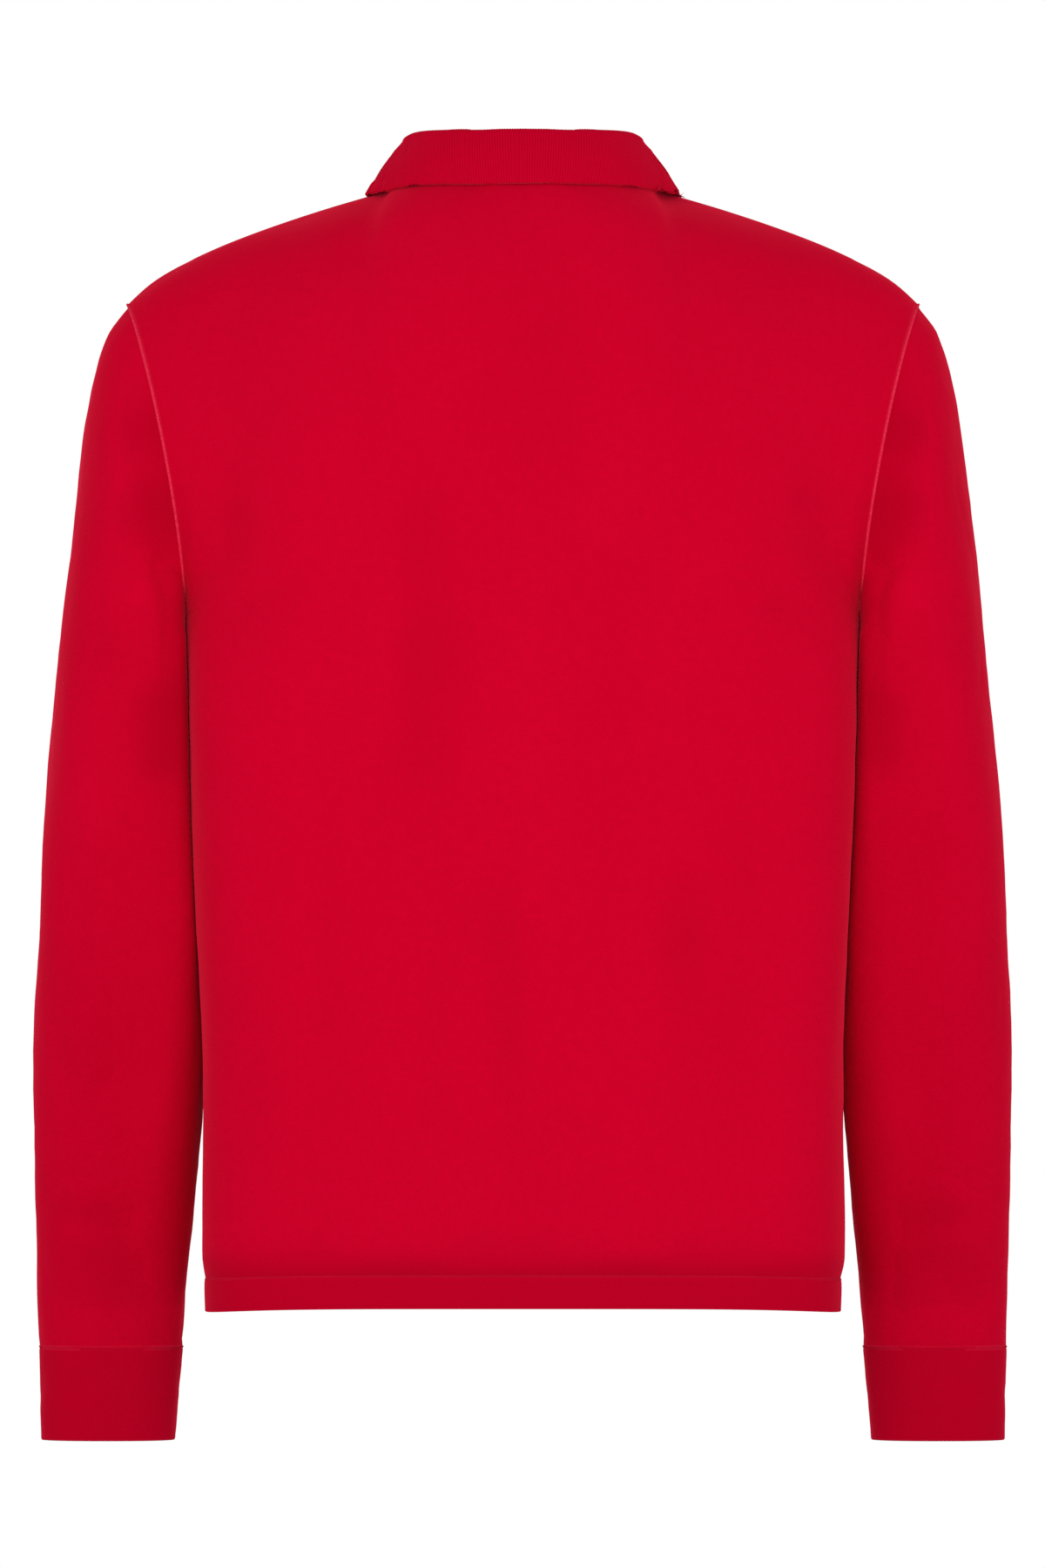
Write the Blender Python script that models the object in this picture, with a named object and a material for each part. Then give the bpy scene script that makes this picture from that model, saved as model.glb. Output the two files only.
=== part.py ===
"""A long-sleeve polo shirt, filled out as if worn, with nobody in it.

Metres, +Z up. The front faces -Y and the wearer's left is +X. The origin is the middle of the
neck's base, level with the points where the shoulder seams meet the collar: the wearer's
shoulders carry the shirt there. Every piece of cloth is a sheet of sections, worked out from the
tables below, that is then given its wall.
"""

import math
from collections import namedtuple

import bmesh
import bpy
from mathutils import Vector

# Walls
CLOTH = 0.0014          # jersey
DOUBLE = 0.0026         # jersey sewn double: turned hem, cuffs
RIB = 0.0020            # flat-knit rib of the collar
STRIP = 0.0016          # each strip of the placket

# Clearances
SEAM = 0.0004           # between two panels that are sewn together
ARMHOLE_SEAM = 0.0007   # between a panel and the sleeve set into it
LAYER = 0.0003          # between two layers that lie on each other

# Neckline: seen from above two half ellipses that meet at the shoulder seams. It slopes up by
# the rise to the back, and falls as much and by the drop to the front.
NECK_HALF_WIDTH = 0.0800
NECK_SIDE_Y = -0.0050
NECK_SIDE_Z = 0.0020
NECK_BACK_REACH = 0.0680
NECK_FRONT_REACH = 0.0750
NECK_RISE = 0.0080
NECK_DROP = 0.0700
NECK_DROP_POWER = 1.5   # how late the drop sets in on the way round to the front

# Placket and buttons
SLIT_HALF_WIDTH = 0.0160
STRIP_HALF_WIDTH = 0.0176
STRIP_TAIL = 0.27       # how far the top strip runs past the slit's lower end, in rows
STRIP_END_GAP = 0.02    # between the lower strip and the slit's lower end, in rows
STRIP_COLUMNS = 2       # columns of half a strip
BUTTON_RADIUS = 0.0057
BUTTON_HEIGHT = 0.0026
BUTTON_RIM = 0.0012     # the raised rim's width
BUTTON_DISH = 0.0007    # how deep the dish inside it lies
BUTTON_ROUND = 0.0004   # the rim's shoulders, inside and outside
BUTTON_EDGE = 0.0006    # from the rim's top down to its widest
BUTTON_FOOT = 0.0012    # how far the underside is drawn in
BUTTON_TAPER = 0.0003   # and how much of that its side takes
BUTTON_SEAT = 0.0005    # from the strip to the button
BUTTON_SIDES = 20
THREAD_HOLES = 4
THREAD_HOLE = 0.0008
THREAD_HOLE_REACH = 0.0017
THREAD_HOLE_SIDES = 6
BUTTON_LEVELS = (7.25, 4.9, 2.55)  # counted in rows of the front's upper table

# How finely each piece is divided
NECK_COLUMNS = 7        # columns of a half panel from its middle to the neck's side
SHOULDER_COLUMNS = 9    # and from there to the armhole or side seam
ARMHOLE_STEPS = 12      # rows of a panel beside the armhole, and half as many as its sleeve has round it
FOLD_STEPS = 4          # steps round the collar's fold
CURVE_SAMPLES = 160     # fine points on a section before it is divided evenly
SHARP_ANGLE = math.radians(50)

# Body sections under the arm, hem first: how wide they are, how far they reach back and forward,
# how square each half is, and how far the back's middle is lifted.
Section = namedtuple("Section", "height half_width back front back_square front_square rise")
BODY = (
    Section(-0.6600, 0.1878, 0.0975, 0.1000, 4.8, 3.6, 0.0032),
    Section(-0.6435, 0.1882, 0.0982, 0.1007, 4.8, 3.6, 0.0031),
    Section(-0.6405, 0.1874, 0.0972, 0.0997, 4.8, 3.6, 0.0030),
    Section(-0.6365, 0.1882, 0.0990, 0.1015, 4.8, 3.6, 0.0029),
    Section(-0.6180, 0.1889, 0.1016, 0.1040, 4.8, 3.6, 0.0024),
    Section(-0.5900, 0.1888, 0.1020, 0.1050, 4.8, 3.6, 0.0018),
    Section(-0.5600, 0.1886, 0.1016, 0.1052, 4.8, 3.6, 0.0012),
    Section(-0.5300, 0.1886, 0.1012, 0.1055, 4.8, 3.6, 0.0006),
    Section(-0.5000, 0.1889, 0.1012, 0.1062, 4.8, 3.6, 0.0000),
    Section(-0.4700, 0.1902, 0.1015, 0.1073, 4.8, 3.6, 0.0000),
    Section(-0.4400, 0.1916, 0.1020, 0.1087, 4.8, 3.6, 0.0000),
    Section(-0.4100, 0.1929, 0.1027, 0.1103, 4.8, 3.6, 0.0000),
    Section(-0.3800, 0.1943, 0.1035, 0.1120, 4.8, 3.6, 0.0000),
    Section(-0.3480, 0.1957, 0.1044, 0.1138, 4.8, 3.6, 0.0000),
    Section(-0.3160, 0.1971, 0.1054, 0.1156, 4.6, 3.5, 0.0000),
    Section(-0.2850, 0.1984, 0.1063, 0.1171, 4.0, 3.4, 0.0000),
    Section(-0.2540, 0.1995, 0.1070, 0.1182, 3.2, 3.2, 0.0000),
)

ROW_RISE_POWER = 5      # a row's height leaves its middle's this late on the way to its end

# Rows from under the arm to the shoulder. middle_y and middle_z follow the panel's middle line,
# power and root set how square the row is, and the last two say how much of the way from the
# plain row to the neckline and shoulder seam it has gone.
Upper = namedtuple("Upper", "middle_y middle_z power root seam_y seam_z")
UPPER_BACK = (
    Upper(0.1070, -0.2540, 3.2, 3.2, 0.00, 0.00),
    Upper(0.1085, -0.1920, 3.0, 2.1, 0.02, 0.04),
    Upper(0.1070, -0.1370, 3.0, 1.7, 0.07, 0.13),
    Upper(0.1025, -0.0920, 3.0, 1.5, 0.16, 0.27),
    Upper(0.0960, -0.0560, 3.0, 1.4, 0.26, 0.42),
    Upper(0.0880, -0.0290, 3.0, 1.3, 0.40, 0.58),
    Upper(0.0795, -0.0100, 3.0, 1.3, 0.55, 0.75),
    Upper(0.0710, 0.0020, 3.0, 1.3, 0.76, 0.90),
    Upper(0.0630, 0.0100, 3.0, 1.3, 1.00, 1.00),
)
UPPER_FRONT = (
    Upper(0.1182, -0.2540, 3.2, 3.2, 0.00, 0.00),
    Upper(0.1192, -0.2220, 3.0, 2.0, 0.03, 0.14),
    Upper(0.1188, -0.1920, 3.0, 1.5, 0.09, 0.29),
    Upper(0.1165, -0.1640, 3.0, 1.3, 0.21, 0.44),
    Upper(0.1125, -0.1390, 3.0, 1.3, 0.37, 0.58),
    Upper(0.1065, -0.1180, 3.0, 1.3, 0.56, 0.72),
    Upper(0.0990, -0.1010, 3.0, 1.3, 0.75, 0.84),
    Upper(0.0900, -0.0880, 3.0, 1.3, 0.91, 0.94),
    Upper(0.0800, -0.0780, 3.0, 1.3, 1.00, 1.00),
)
SLIT_STEP = 1           # the slit's lower end is this many rows above the underarm

# The shoulder seam from the neck outwards, seen from behind
Shoulder = namedtuple("Shoulder", "out height")
SHOULDER = (
    Shoulder(NECK_HALF_WIDTH, NECK_SIDE_Z),
    Shoulder(0.1120, -0.0072),
    Shoulder(0.1450, -0.0180),
    Shoulder(0.1750, -0.0293),
    Shoulder(0.1990, -0.0403),
    Shoulder(0.2190, -0.0520),
    Shoulder(0.2340, -0.0655),
)

# Sleeve sections from the armhole to the cuff: the outer and inner ends of each ring seen from
# behind, how far it reaches back and forward, how square it is, how square its back corner
# beside the body is, and how far the armhole's hollow pulls it towards the body.
Ring = namedtuple("Ring", "outer_x outer_z inner_x inner_z back front squareness corner hollow")
SLEEVE = (
    Ring(0.2340, -0.0655, 0.1995, -0.2540, 0.0560, -0.0520, 2.05, 2.05, 0.0070),
    Ring(0.2446, -0.0814, 0.2002, -0.2568, 0.0580, -0.0565, 2.10, 2.10, 0.0035),
    Ring(0.2515, -0.1020, 0.2002, -0.2605, 0.0592, -0.0610, 2.15, 2.15, 0.0010),
    Ring(0.2568, -0.1260, 0.2000, -0.2655, 0.0598, -0.0650, 2.20, 2.30, 0.0000),
    Ring(0.2611, -0.1535, 0.1997, -0.2725, 0.0600, -0.0685, 2.30, 2.60, 0.0000),
    Ring(0.2653, -0.1870, 0.1993, -0.2825, 0.0592, -0.0713, 2.40, 3.00, 0.0000),
    Ring(0.2694, -0.2230, 0.1987, -0.2960, 0.0575, -0.0735, 2.50, 3.50, 0.0000),
    Ring(0.2735, -0.2620, 0.1980, -0.3140, 0.0548, -0.0750, 2.55, 4.00, 0.0000),
    Ring(0.2777, -0.3030, 0.1969, -0.3380, 0.0508, -0.0757, 2.55, 4.40, 0.0000),
    Ring(0.2816, -0.3490, 0.1955, -0.3700, 0.0450, -0.0757, 2.50, 4.60, 0.0000),
    Ring(0.2850, -0.3965, 0.1938, -0.4075, 0.0378, -0.0757, 2.45, 4.60, 0.0000),
    Ring(0.2876, -0.4425, 0.1920, -0.4475, 0.0290, -0.0762, 2.40, 4.40, 0.0000),
    Ring(0.2893, -0.4895, 0.1899, -0.4905, 0.0180, -0.0778, 2.40, 4.00, 0.0000),
    Ring(0.2902, -0.5358, 0.1903, -0.5358, 0.0060, -0.0805, 2.35, 3.60, 0.0000),
    Ring(0.2902, -0.5821, 0.1943, -0.5821, -0.0050, -0.0840, 2.35, 3.10, 0.0000),
    Ring(0.2892, -0.6335, 0.1989, -0.6335, -0.0150, -0.0875, 2.35, 2.60, 0.0000),
    Ring(0.2876, -0.6838, 0.2026, -0.6838, -0.0240, -0.0900, 2.35, 2.35, 0.0000),
)
CUFF = (
    Ring(0.2880, -0.6842, 0.2022, -0.6842, -0.0236, -0.0904, 2.40, 2.40, 0.0000),
    Ring(0.2879, -0.6875, 0.2026, -0.6875, -0.0238, -0.0906, 2.40, 2.40, 0.0000),
    Ring(0.2873, -0.7130, 0.2049, -0.7130, -0.0262, -0.0912, 2.40, 2.40, 0.0000),
    Ring(0.2869, -0.7391, 0.2072, -0.7391, -0.0290, -0.0918, 2.40, 2.40, 0.0000),
)

HOLLOW_POWER = 1.5      # how narrowly the hollow is centred between a ring's two ends

# At the armhole the cloth's outward direction leans away from the body by this much at the back
# and front, and by this much more at the shoulder and under the arm. Sleeve and panel share it,
# fading to their own directions under the arm.
SEAM_LEAN = 0.25
SEAM_LEAN_MORE = 0.35
SEAM_SHARE = 0.5        # how far it is shared at the back and front
SEAM_SHARE_RISE = 1.5   # and how fast that grows towards the shoulder

# The largest folds: soft troughs (a positive depth) and ridges from one point to another, on
# the wearer's left. Those of a sleeve are repeated on the right.
FOLD_FADE = 0.35        # what is left of a fold's depth at its ends
Fold = namedtuple("Fold", "piece start end width depth")
FOLDS = (
    Fold("sleeve", (0.208, 0.045, -0.232), (0.262, 0.045, -0.178), 0.017, 0.0035),
    Fold("sleeve", (0.206, 0.045, -0.262), (0.268, 0.045, -0.232), 0.014, -0.0022),
    Fold("sleeve", (0.204, 0.045, -0.300), (0.262, 0.045, -0.276), 0.016, 0.0030),
    Fold("sleeve", (0.210, 0.030, -0.405), (0.270, 0.030, -0.372), 0.018, 0.0022),
    Fold("sleeve", (0.215, -0.070, -0.385), (0.265, -0.075, -0.360), 0.016, 0.0032),
    Fold("sleeve", (0.212, -0.070, -0.430), (0.262, -0.075, -0.420), 0.016, 0.0028),
    Fold("sleeve", (0.208, -0.060, -0.225), (0.250, -0.060, -0.180), 0.016, 0.0030),
    Fold("sleeve", (0.206, -0.065, -0.280), (0.252, -0.070, -0.248), 0.016, 0.0026),
    Fold("sleeve", (0.272, -0.030, -0.640), (0.240, -0.010, -0.600), 0.014, 0.0016),
    Fold("back", (-0.070, 0.108, -0.170), (-0.062, 0.103, -0.450), 0.022, 0.0022),
    Fold("back", (0.012, 0.104, -0.360), (0.018, 0.102, -0.610), 0.020, 0.0022),
    Fold("back", (0.088, 0.104, -0.400), (0.096, 0.102, -0.560), 0.018, 0.0016),
    Fold("back", (-0.110, 0.104, -0.300), (-0.114, 0.102, -0.600), 0.012, 0.0010),
    Fold("back", (0.196, 0.020, -0.290), (0.120, 0.100, -0.230), 0.016, 0.0016),
    Fold("back", (-0.196, 0.020, -0.290), (-0.125, 0.100, -0.222), 0.016, 0.0014),
    Fold("front", (0.085, -0.115, -0.250), (0.092, -0.106, -0.560), 0.022, 0.0026),
    Fold("front", (-0.078, -0.116, -0.270), (-0.090, -0.105, -0.590), 0.024, 0.0028),
    Fold("front", (0.010, -0.115, -0.330), (0.004, -0.105, -0.610), 0.020, 0.0018),
    Fold("front", (0.190, -0.040, -0.265), (0.115, -0.105, -0.205), 0.018, 0.0026),
    Fold("front", (-0.190, -0.040, -0.265), (-0.120, -0.105, -0.212), 0.018, 0.0024),
)

# The collar from its middle at the back round to a front end. turn is the angle round the
# neckline, and the fall's edge lies over a panel at a distance across it and a level up it.
Station = namedtuple("Station", "turn stand lean panel across level lift swell")
COLLAR = (
    Station(0, 0.0259, 0.0040, "back", 0.0000, 7.08, 0.0022, 0.0020),
    Station(18, 0.0263, 0.0042, "back", 0.0240, 7.10, 0.0022, 0.0020),
    Station(36, 0.0273, 0.0054, "back", 0.0460, 7.22, 0.0020, 0.0020),
    Station(54, 0.0288, 0.0078, "back", 0.0690, 7.33, 0.0018, 0.0020),
    Station(72, 0.0294, 0.0108, "back", 0.0950, 7.40, 0.0016, 0.0018),
    Station(90, 0.0288, 0.0124, "back", 0.1300, 7.90, 0.0020, 0.0018),
    Station(106, 0.0284, 0.0114, "front", 0.1240, 7.30, 0.0024, 0.0030),
    Station(122, 0.0274, 0.0092, "front", 0.1130, 6.55, 0.0020, 0.0038),
    Station(138, 0.0258, 0.0064, "front", 0.0970, 5.95, 0.0022, 0.0042),
    Station(152, 0.0240, 0.0040, "front", 0.0800, 5.45, 0.0026, 0.0042),
    Station(165, 0.0222, 0.0026, "front", 0.0620, 5.05, 0.0032, 0.0038),
    Station(178, 0.0205, 0.0016, "front", 0.0440, 4.75, 0.0038, 0.0034),
)
COLLAR_SEAT = 0.0006    # from the neckline up to the collar's lower edge
FOLD_RADIUS = 0.0012    # inside the fold
FALL_STEPS = 5
STAND_STEPS = 3

RED = (0.584, 0.0006, 0.0222, 1.0)
RIB_RED = (0.540, 0.0006, 0.0240, 1.0)
BUTTON_RED = (0.420, 0.0010, 0.0160, 1.0)


def interpolated(table, position):
    """The numbers of a table's row at a position counted in rows, on a smooth curve through them."""
    last = len(table) - 1
    low = min(max(int(position), 0), last - 1)
    part = position - low
    rows = [table[min(max(i, 0), last)] for i in (low - 1, low, low + 1, low + 2)]
    values = []
    for before, start, end, after in zip(*rows):
        if isinstance(start, str):
            values.append(start)
            continue
        rise, next_rise = (end - before) / 2, (after - start) / 2
        values.append(
            start
            + part * rise
            + part**2 * (3 * (end - start) - 2 * rise - next_rise)
            + part**3 * (2 * (start - end) + rise + next_rise)
        )
    return type(table[0])(*values)


def power(value, exponent):
    """value to an exponent, keeping its sign."""
    return math.copysign(abs(value) ** exponent, value)


def places(points, stops):
    """Where these distances along a polyline lie, counted in its points."""
    found, walked, i = [], 0.0, 0
    for stop in stops:
        step = (points[i + 1] - points[i]).length
        while i < len(points) - 2 and walked + step < stop:
            walked += step
            i += 1
            step = (points[i + 1] - points[i]).length
        found.append(i + min(1.0, (stop - walked) / step))
    return found


def divided(points, stops):
    """The points of a polyline at these distances along it."""
    found = []
    for place in places(points, stops):
        i = min(int(place), len(points) - 2)
        found.append(points[i].lerp(points[i + 1], place - i))
    return found


def length_of(points):
    return sum((b - a).length for a, b in zip(points, points[1:]))


def ring_point(ring, angle):
    """A point of a sleeve ring on the wearer's left: 0 at its outer end, 90 degrees at the back."""
    outer = Vector((ring.outer_x, 0, ring.outer_z))
    inner = Vector((ring.inner_x, 0, ring.inner_z))
    beside_body = math.cos(angle) < 0 < math.sin(angle)
    square = ring.corner if beside_body else ring.squareness
    across = power(math.cos(angle), 2 / square)
    deep = power(math.sin(angle), 2 / square)
    point = (outer + inner) / 2 + (outer - inner) / 2 * across
    point.x -= ring.hollow * abs(math.sin(angle)) ** HOLLOW_POWER
    point.y = (ring.back + ring.front) / 2 + (ring.back - ring.front) / 2 * deep
    return point


def seam_direction(angle, own):
    """The way out of the cloth at the armhole: shared by sleeve and panel except under the arm."""
    ring = SLEEVE[0]
    up = Vector((ring.outer_x - ring.inner_x, 0, ring.outer_z - ring.inner_z)).normalized()
    away = Vector((up.z, 0, -up.x)) * (SEAM_LEAN + SEAM_LEAN_MORE * abs(math.cos(angle)))
    shared = (up * math.cos(angle) + Vector((0, math.sin(angle), 0)) + away).normalized()
    share = min(max(SEAM_SHARE + SEAM_SHARE_RISE * math.cos(angle), 0), 1)
    return own.lerp(shared, share).normalized()


def armhole_point(panel, share):
    """A point of the armhole's back or front half, from under the arm (0) to the shoulder (1)."""
    angle = math.pi * (1 - share)
    return ring_point(SLEEVE[0], angle if panel == "back" else -angle)


# A panel's row: its outer end, the rest as in the table of upper rows
Row = namedtuple("Row", "end_x end_y end_z middle_y middle_z power root seam_y seam_z")


def rows_of(panel):
    """Every row of a panel, hem first, and how many of them lie below the underarm."""
    sign = 1 if panel == "back" else -1
    rows = []
    for section in BODY[:-1]:
        depth = section.back if panel == "back" else section.front
        square = section.back_square if panel == "back" else section.front_square
        middle_z = section.height + (section.rise if panel == "back" else 0)
        rows.append(
            Row(section.half_width, sign * SEAM / 2, section.height, sign * depth, middle_z,
                square, square, 0, 0)
        )
    for step in range(ARMHOLE_STEPS + 1):
        rows.append(upper_row(panel, step * (len(UPPER_BACK) - 1) / ARMHOLE_STEPS))
    return rows, len(BODY) - 1


def upper_row(panel, level):
    """The row at a level counted in rows of the upper table."""
    table = UPPER_BACK if panel == "back" else UPPER_FRONT
    sign = 1 if panel == "back" else -1
    up = interpolated(table, level)
    end = armhole_point(panel, level / (len(table) - 1))
    end_y = sign * max(sign * end.y, SEAM / 2)
    return Row(end.x, end_y, end.z, sign * up.middle_y, up.middle_z,
               up.power, up.root, up.seam_y, up.seam_z)


def plain_row(row):
    """Fine points of half a row, from the panel's middle outwards."""
    points = []
    for i in range(CURVE_SAMPLES + 1):
        angle = math.pi / 2 * i / CURVE_SAMPLES
        share = math.sin(angle) ** (2 / row.power)
        depth = max(math.cos(angle), 0) ** (2 / row.root)
        points.append(
            Vector((
                row.end_x * share,
                row.end_y + (row.middle_y - row.end_y) * depth,
                row.middle_z + (row.end_z - row.middle_z) * share**ROW_RISE_POWER,
            ))
        )
    return points


def neckline_point(turn):
    """A point of the neckline: 0 degrees at the back, 90 at the left shoulder seam, 180 in front."""
    side, ahead = math.sin(math.radians(turn)), math.cos(math.radians(turn))
    reach = NECK_BACK_REACH if ahead > 0 else NECK_FRONT_REACH
    height = NECK_SIDE_Z + NECK_RISE * ahead - NECK_DROP * max(-ahead, 0) ** NECK_DROP_POWER
    return Vector((NECK_HALF_WIDTH * side, NECK_SIDE_Y + reach * ahead, height))


def top_edge(panel):
    """Fine points of half the neckline, then of the shoulder seam, and the neckline's length."""
    start, sign = (0, 1) if panel == "back" else (180, -1)
    neck = [
        neckline_point(start + (90 - start) * i / CURVE_SAMPLES) for i in range(CURVE_SAMPLES + 1)
    ]
    end_y = (SLEEVE[0].back + SLEEVE[0].front) / 2
    shoulder = []
    for i in range(1, CURVE_SAMPLES + 1):
        at = interpolated(SHOULDER, i / CURVE_SAMPLES * (len(SHOULDER) - 1))
        share = (at.out - NECK_HALF_WIDTH) / (SHOULDER[-1].out - NECK_HALF_WIDTH)
        y = NECK_SIDE_Y + (end_y - NECK_SIDE_Y) * share
        shoulder.append(Vector((at.out, y, at.height)))
    points = neck + shoulder
    for point in points[CURVE_SAMPLES:]:
        point.y += sign * SEAM / 2
    return points, length_of(neck)


def column_stops(total, neck):
    """Where a half row is divided: its middle, the slit's edge, the neck's side, its outer end."""
    inner = [
        SLIT_HALF_WIDTH + (neck - SLIT_HALF_WIDTH) * i / (NECK_COLUMNS - 1)
        for i in range(NECK_COLUMNS)
    ]
    outer = [neck + (total - neck) * (i + 1) / SHOULDER_COLUMNS for i in range(SHOULDER_COLUMNS)]
    return [0.0] + inner + outer


def half_row(panel, row, stops=None):
    """Half a finished row: the plain one, drawn up to the neckline and shoulder seam."""
    edge, neck = top_edge(panel)
    share = neck / length_of(edge)
    top = plain_row(upper_row(panel, len(UPPER_BACK) - 1))
    fine = plain_row(row)

    def at(points, neck_stop):
        return divided(points, stops or column_stops(length_of(points), neck_stop))

    found = at(fine, share * length_of(fine))
    if not row.seam_z:
        return found
    pulls = zip(at(edge, neck), at(top, share * length_of(top)))
    for point, (wanted, plain) in zip(found, pulls):
        pull = wanted - plain
        point += Vector((pull.x * row.seam_y, pull.y * row.seam_y, pull.z * row.seam_z))
    return found


def panel_point(panel, across, level):
    """A point of a panel and its outward normal, across it and at a level of its upper table."""
    aside, step = 0.004, 0.1  # how far to its neighbours, across in metres and up in rows

    def at(distance, height):
        return half_row(panel, upper_row(panel, height), [distance])[0]

    top = len(UPPER_BACK) - 1
    low, high = max(level - step, 0), min(level + step, top)
    beside = at(across + aside, level) - at(max(across - aside, 0), level)
    normal = beside.cross(at(across, high) - at(across, low)).normalized()
    if panel == "back":
        normal.negate()
    if across < aside:
        normal.x = 0
    return at(across, level), normal.normalized()


def mirrored_row(half):
    """A whole row from the half on the wearer's left, starting on the right."""
    return [Vector((-p.x, p.y, p.z)) for p in reversed(half[1:])] + half


def grid_normals(grid, closed):
    """Outward normals of a sheet whose rows run up it and whose columns run to the left."""
    rows, columns = len(grid), len(grid[0])
    normals = []
    for r in range(rows):
        line = []
        for c in range(columns):
            if closed:
                along = grid[r][(c + 1) % columns] - grid[r][c - 1]
            else:
                along = grid[r][min(c + 1, columns - 1)] - grid[r][max(c - 1, 0)]
            up = grid[min(r + 1, rows - 1)][c] - grid[max(r - 1, 0)][c]
            line.append(along.cross(up).normalized())
        normals.append(line)
    return normals


def folded(grid, normals, piece, side=1):
    """The sheet's points, pressed in or raised along the folds of this piece."""
    result = []
    for line, directions in zip(grid, normals):
        moved = []
        for point, normal in zip(line, directions):
            depth = 0.0
            for fold in (f for f in FOLDS if f.piece == piece):
                start = Vector((side * fold.start[0], *fold.start[1:]))
                run = Vector((side * fold.end[0], *fold.end[1:])) - start
                along = min(max((point - start).dot(run) / run.length_squared, 0), 1)
                away = (point - start - run * along).length
                fade = FOLD_FADE + (1 - FOLD_FADE) * math.sin(math.pi * along)
                depth += fold.depth * fade * math.exp(-((away / fold.width) ** 2))
            moved.append(point - normal * depth)
        result.append(moved)
    return result


def cloth_object(name, grid, normals, walls, material, closed=False, missing=()):
    """A wall between a sheet's outer points and the same points moved in by each row's wall.

    Both sides are divided along the same diagonals, the shorter ones. closed joins each row's
    ends, and missing holds the (row, column) of the places left open.
    """
    rows, columns = len(grid), len(grid[0])
    bm = bmesh.new()
    outer = [[bm.verts.new(point) for point in line] for line in grid]
    inner = [
        [bm.verts.new(p - n * wall) for p, n in zip(line, directions)]
        for line, directions, wall in zip(grid, normals, walls)
    ]
    present = [
        (r, c)
        for r in range(rows - 1)
        for c in range(columns if closed else columns - 1)
        if (r, c) not in missing
    ]
    for r, c in present:
        d = (c + 1) % columns
        corners = [(r, c), (r, d), (r + 1, d), (r + 1, c)]
        a, b, e, f = (grid[i][j] for i, j in corners)
        if (a - e).length > (b - f).length:
            corners = corners[1:] + corners[:1]
        for three in (corners[:3], corners[2:] + corners[:1]):
            bm.faces.new([outer[i][j] for i, j in three])
            bm.faces.new([inner[i][j] for i, j in reversed(three)])
    pair = {a: b for line in zip(outer, inner) for a, b in zip(*line)}
    for edge in [e for e in bm.edges if len(e.link_faces) == 1 and e.verts[0] in pair]:
        loop = edge.link_loops[0]
        a, b = loop.vert, loop.link_loop_next.vert
        bm.faces.new((b, a, pair[a], pair[b]))
    bmesh.ops.delete(bm, geom=[v for v in bm.verts if not v.link_faces], context="VERTS")
    return add_object(name, bm, material)


def add_object(name, bm, material):
    mesh = bpy.data.meshes.new(name)
    bm.to_mesh(mesh)
    bm.free()
    mesh.materials.append(material)
    mesh.shade_smooth()
    mesh.set_sharp_from_angle(angle=SHARP_ANGLE)
    made = bpy.data.objects.new(name, mesh)
    bpy.context.scene.collection.objects.link(made)
    return made


def material_of(name, color, roughness):
    made = bpy.data.materials.new(name)
    made.use_nodes = True
    shader = made.node_tree.nodes["Principled BSDF"]
    shader.inputs["Base Color"].default_value = color
    shader.inputs["Roughness"].default_value = roughness
    return made


def panel(name, material):
    """The back or the front, with its hem sewn double and, in front, the placket's slit."""
    rows, under_arm = rows_of(name)
    grid = [mirrored_row(half_row(name, row)) for row in rows]
    if name == "back":
        grid = [list(reversed(line)) for line in grid]
    normals = grid_normals(grid, closed=False)
    last, middle = len(grid) - 1, len(grid[0]) // 2
    sign = 1 if name == "back" else -1
    for r, line in enumerate(grid):
        for c in (0, -1):
            side = Vector((math.copysign(1, line[c].x), 1, 1))
            if r <= under_arm:
                normals[r][c] = Vector((side.x, 0, 0))
            else:
                angle = sign * math.pi * (1 - (r - under_arm) / ARMHOLE_STEPS)
                normals[r][c] = seam_direction(angle, normals[r][c] * side) * side
    for c in range(1, len(grid[0]) - 1):
        if abs(c - middle) >= NECK_COLUMNS:
            normals[last][c].y = 0
            normals[last][c].normalize()
    missing = set()
    if name == "front":
        slit = range(under_arm + SLIT_STEP, last)
        missing = {(r, c) for r in slit for c in (middle - 1, middle)}
    walls = [DOUBLE] * 3 + [CLOTH] * (len(grid) - 3)
    return cloth_object(name, folded(grid, normals, name), normals, walls, material, missing=missing)


def tube(name, rings, side, walls, material):
    """A sleeve or a cuff: rings joined into an open tube."""
    around = 2 * ARMHOLE_STEPS
    angles = [2 * math.pi * c / around for c in range(around)]
    grid = [[ring_point(ring, angle) for angle in angles] for ring in reversed(rings)]
    sleeve = name.startswith("sleeve")
    if sleeve:
        for point in grid[-1]:
            point.x += ARMHOLE_SEAM
    normals = grid_normals(grid, closed=True)
    if sleeve:
        normals[-1] = [seam_direction(angle, own) for angle, own in zip(angles, normals[-1])]
    if side < 0:
        grid = [[Vector((-p.x, p.y, p.z)) for p in reversed(line)] for line in grid]
        normals = [[Vector((-n.x, n.y, n.z)) for n in reversed(line)] for line in normals]
    if sleeve:
        grid = folded(grid, normals, "sleeve", side)
    return cloth_object(name, grid, normals, walls, material, closed=True)


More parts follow.
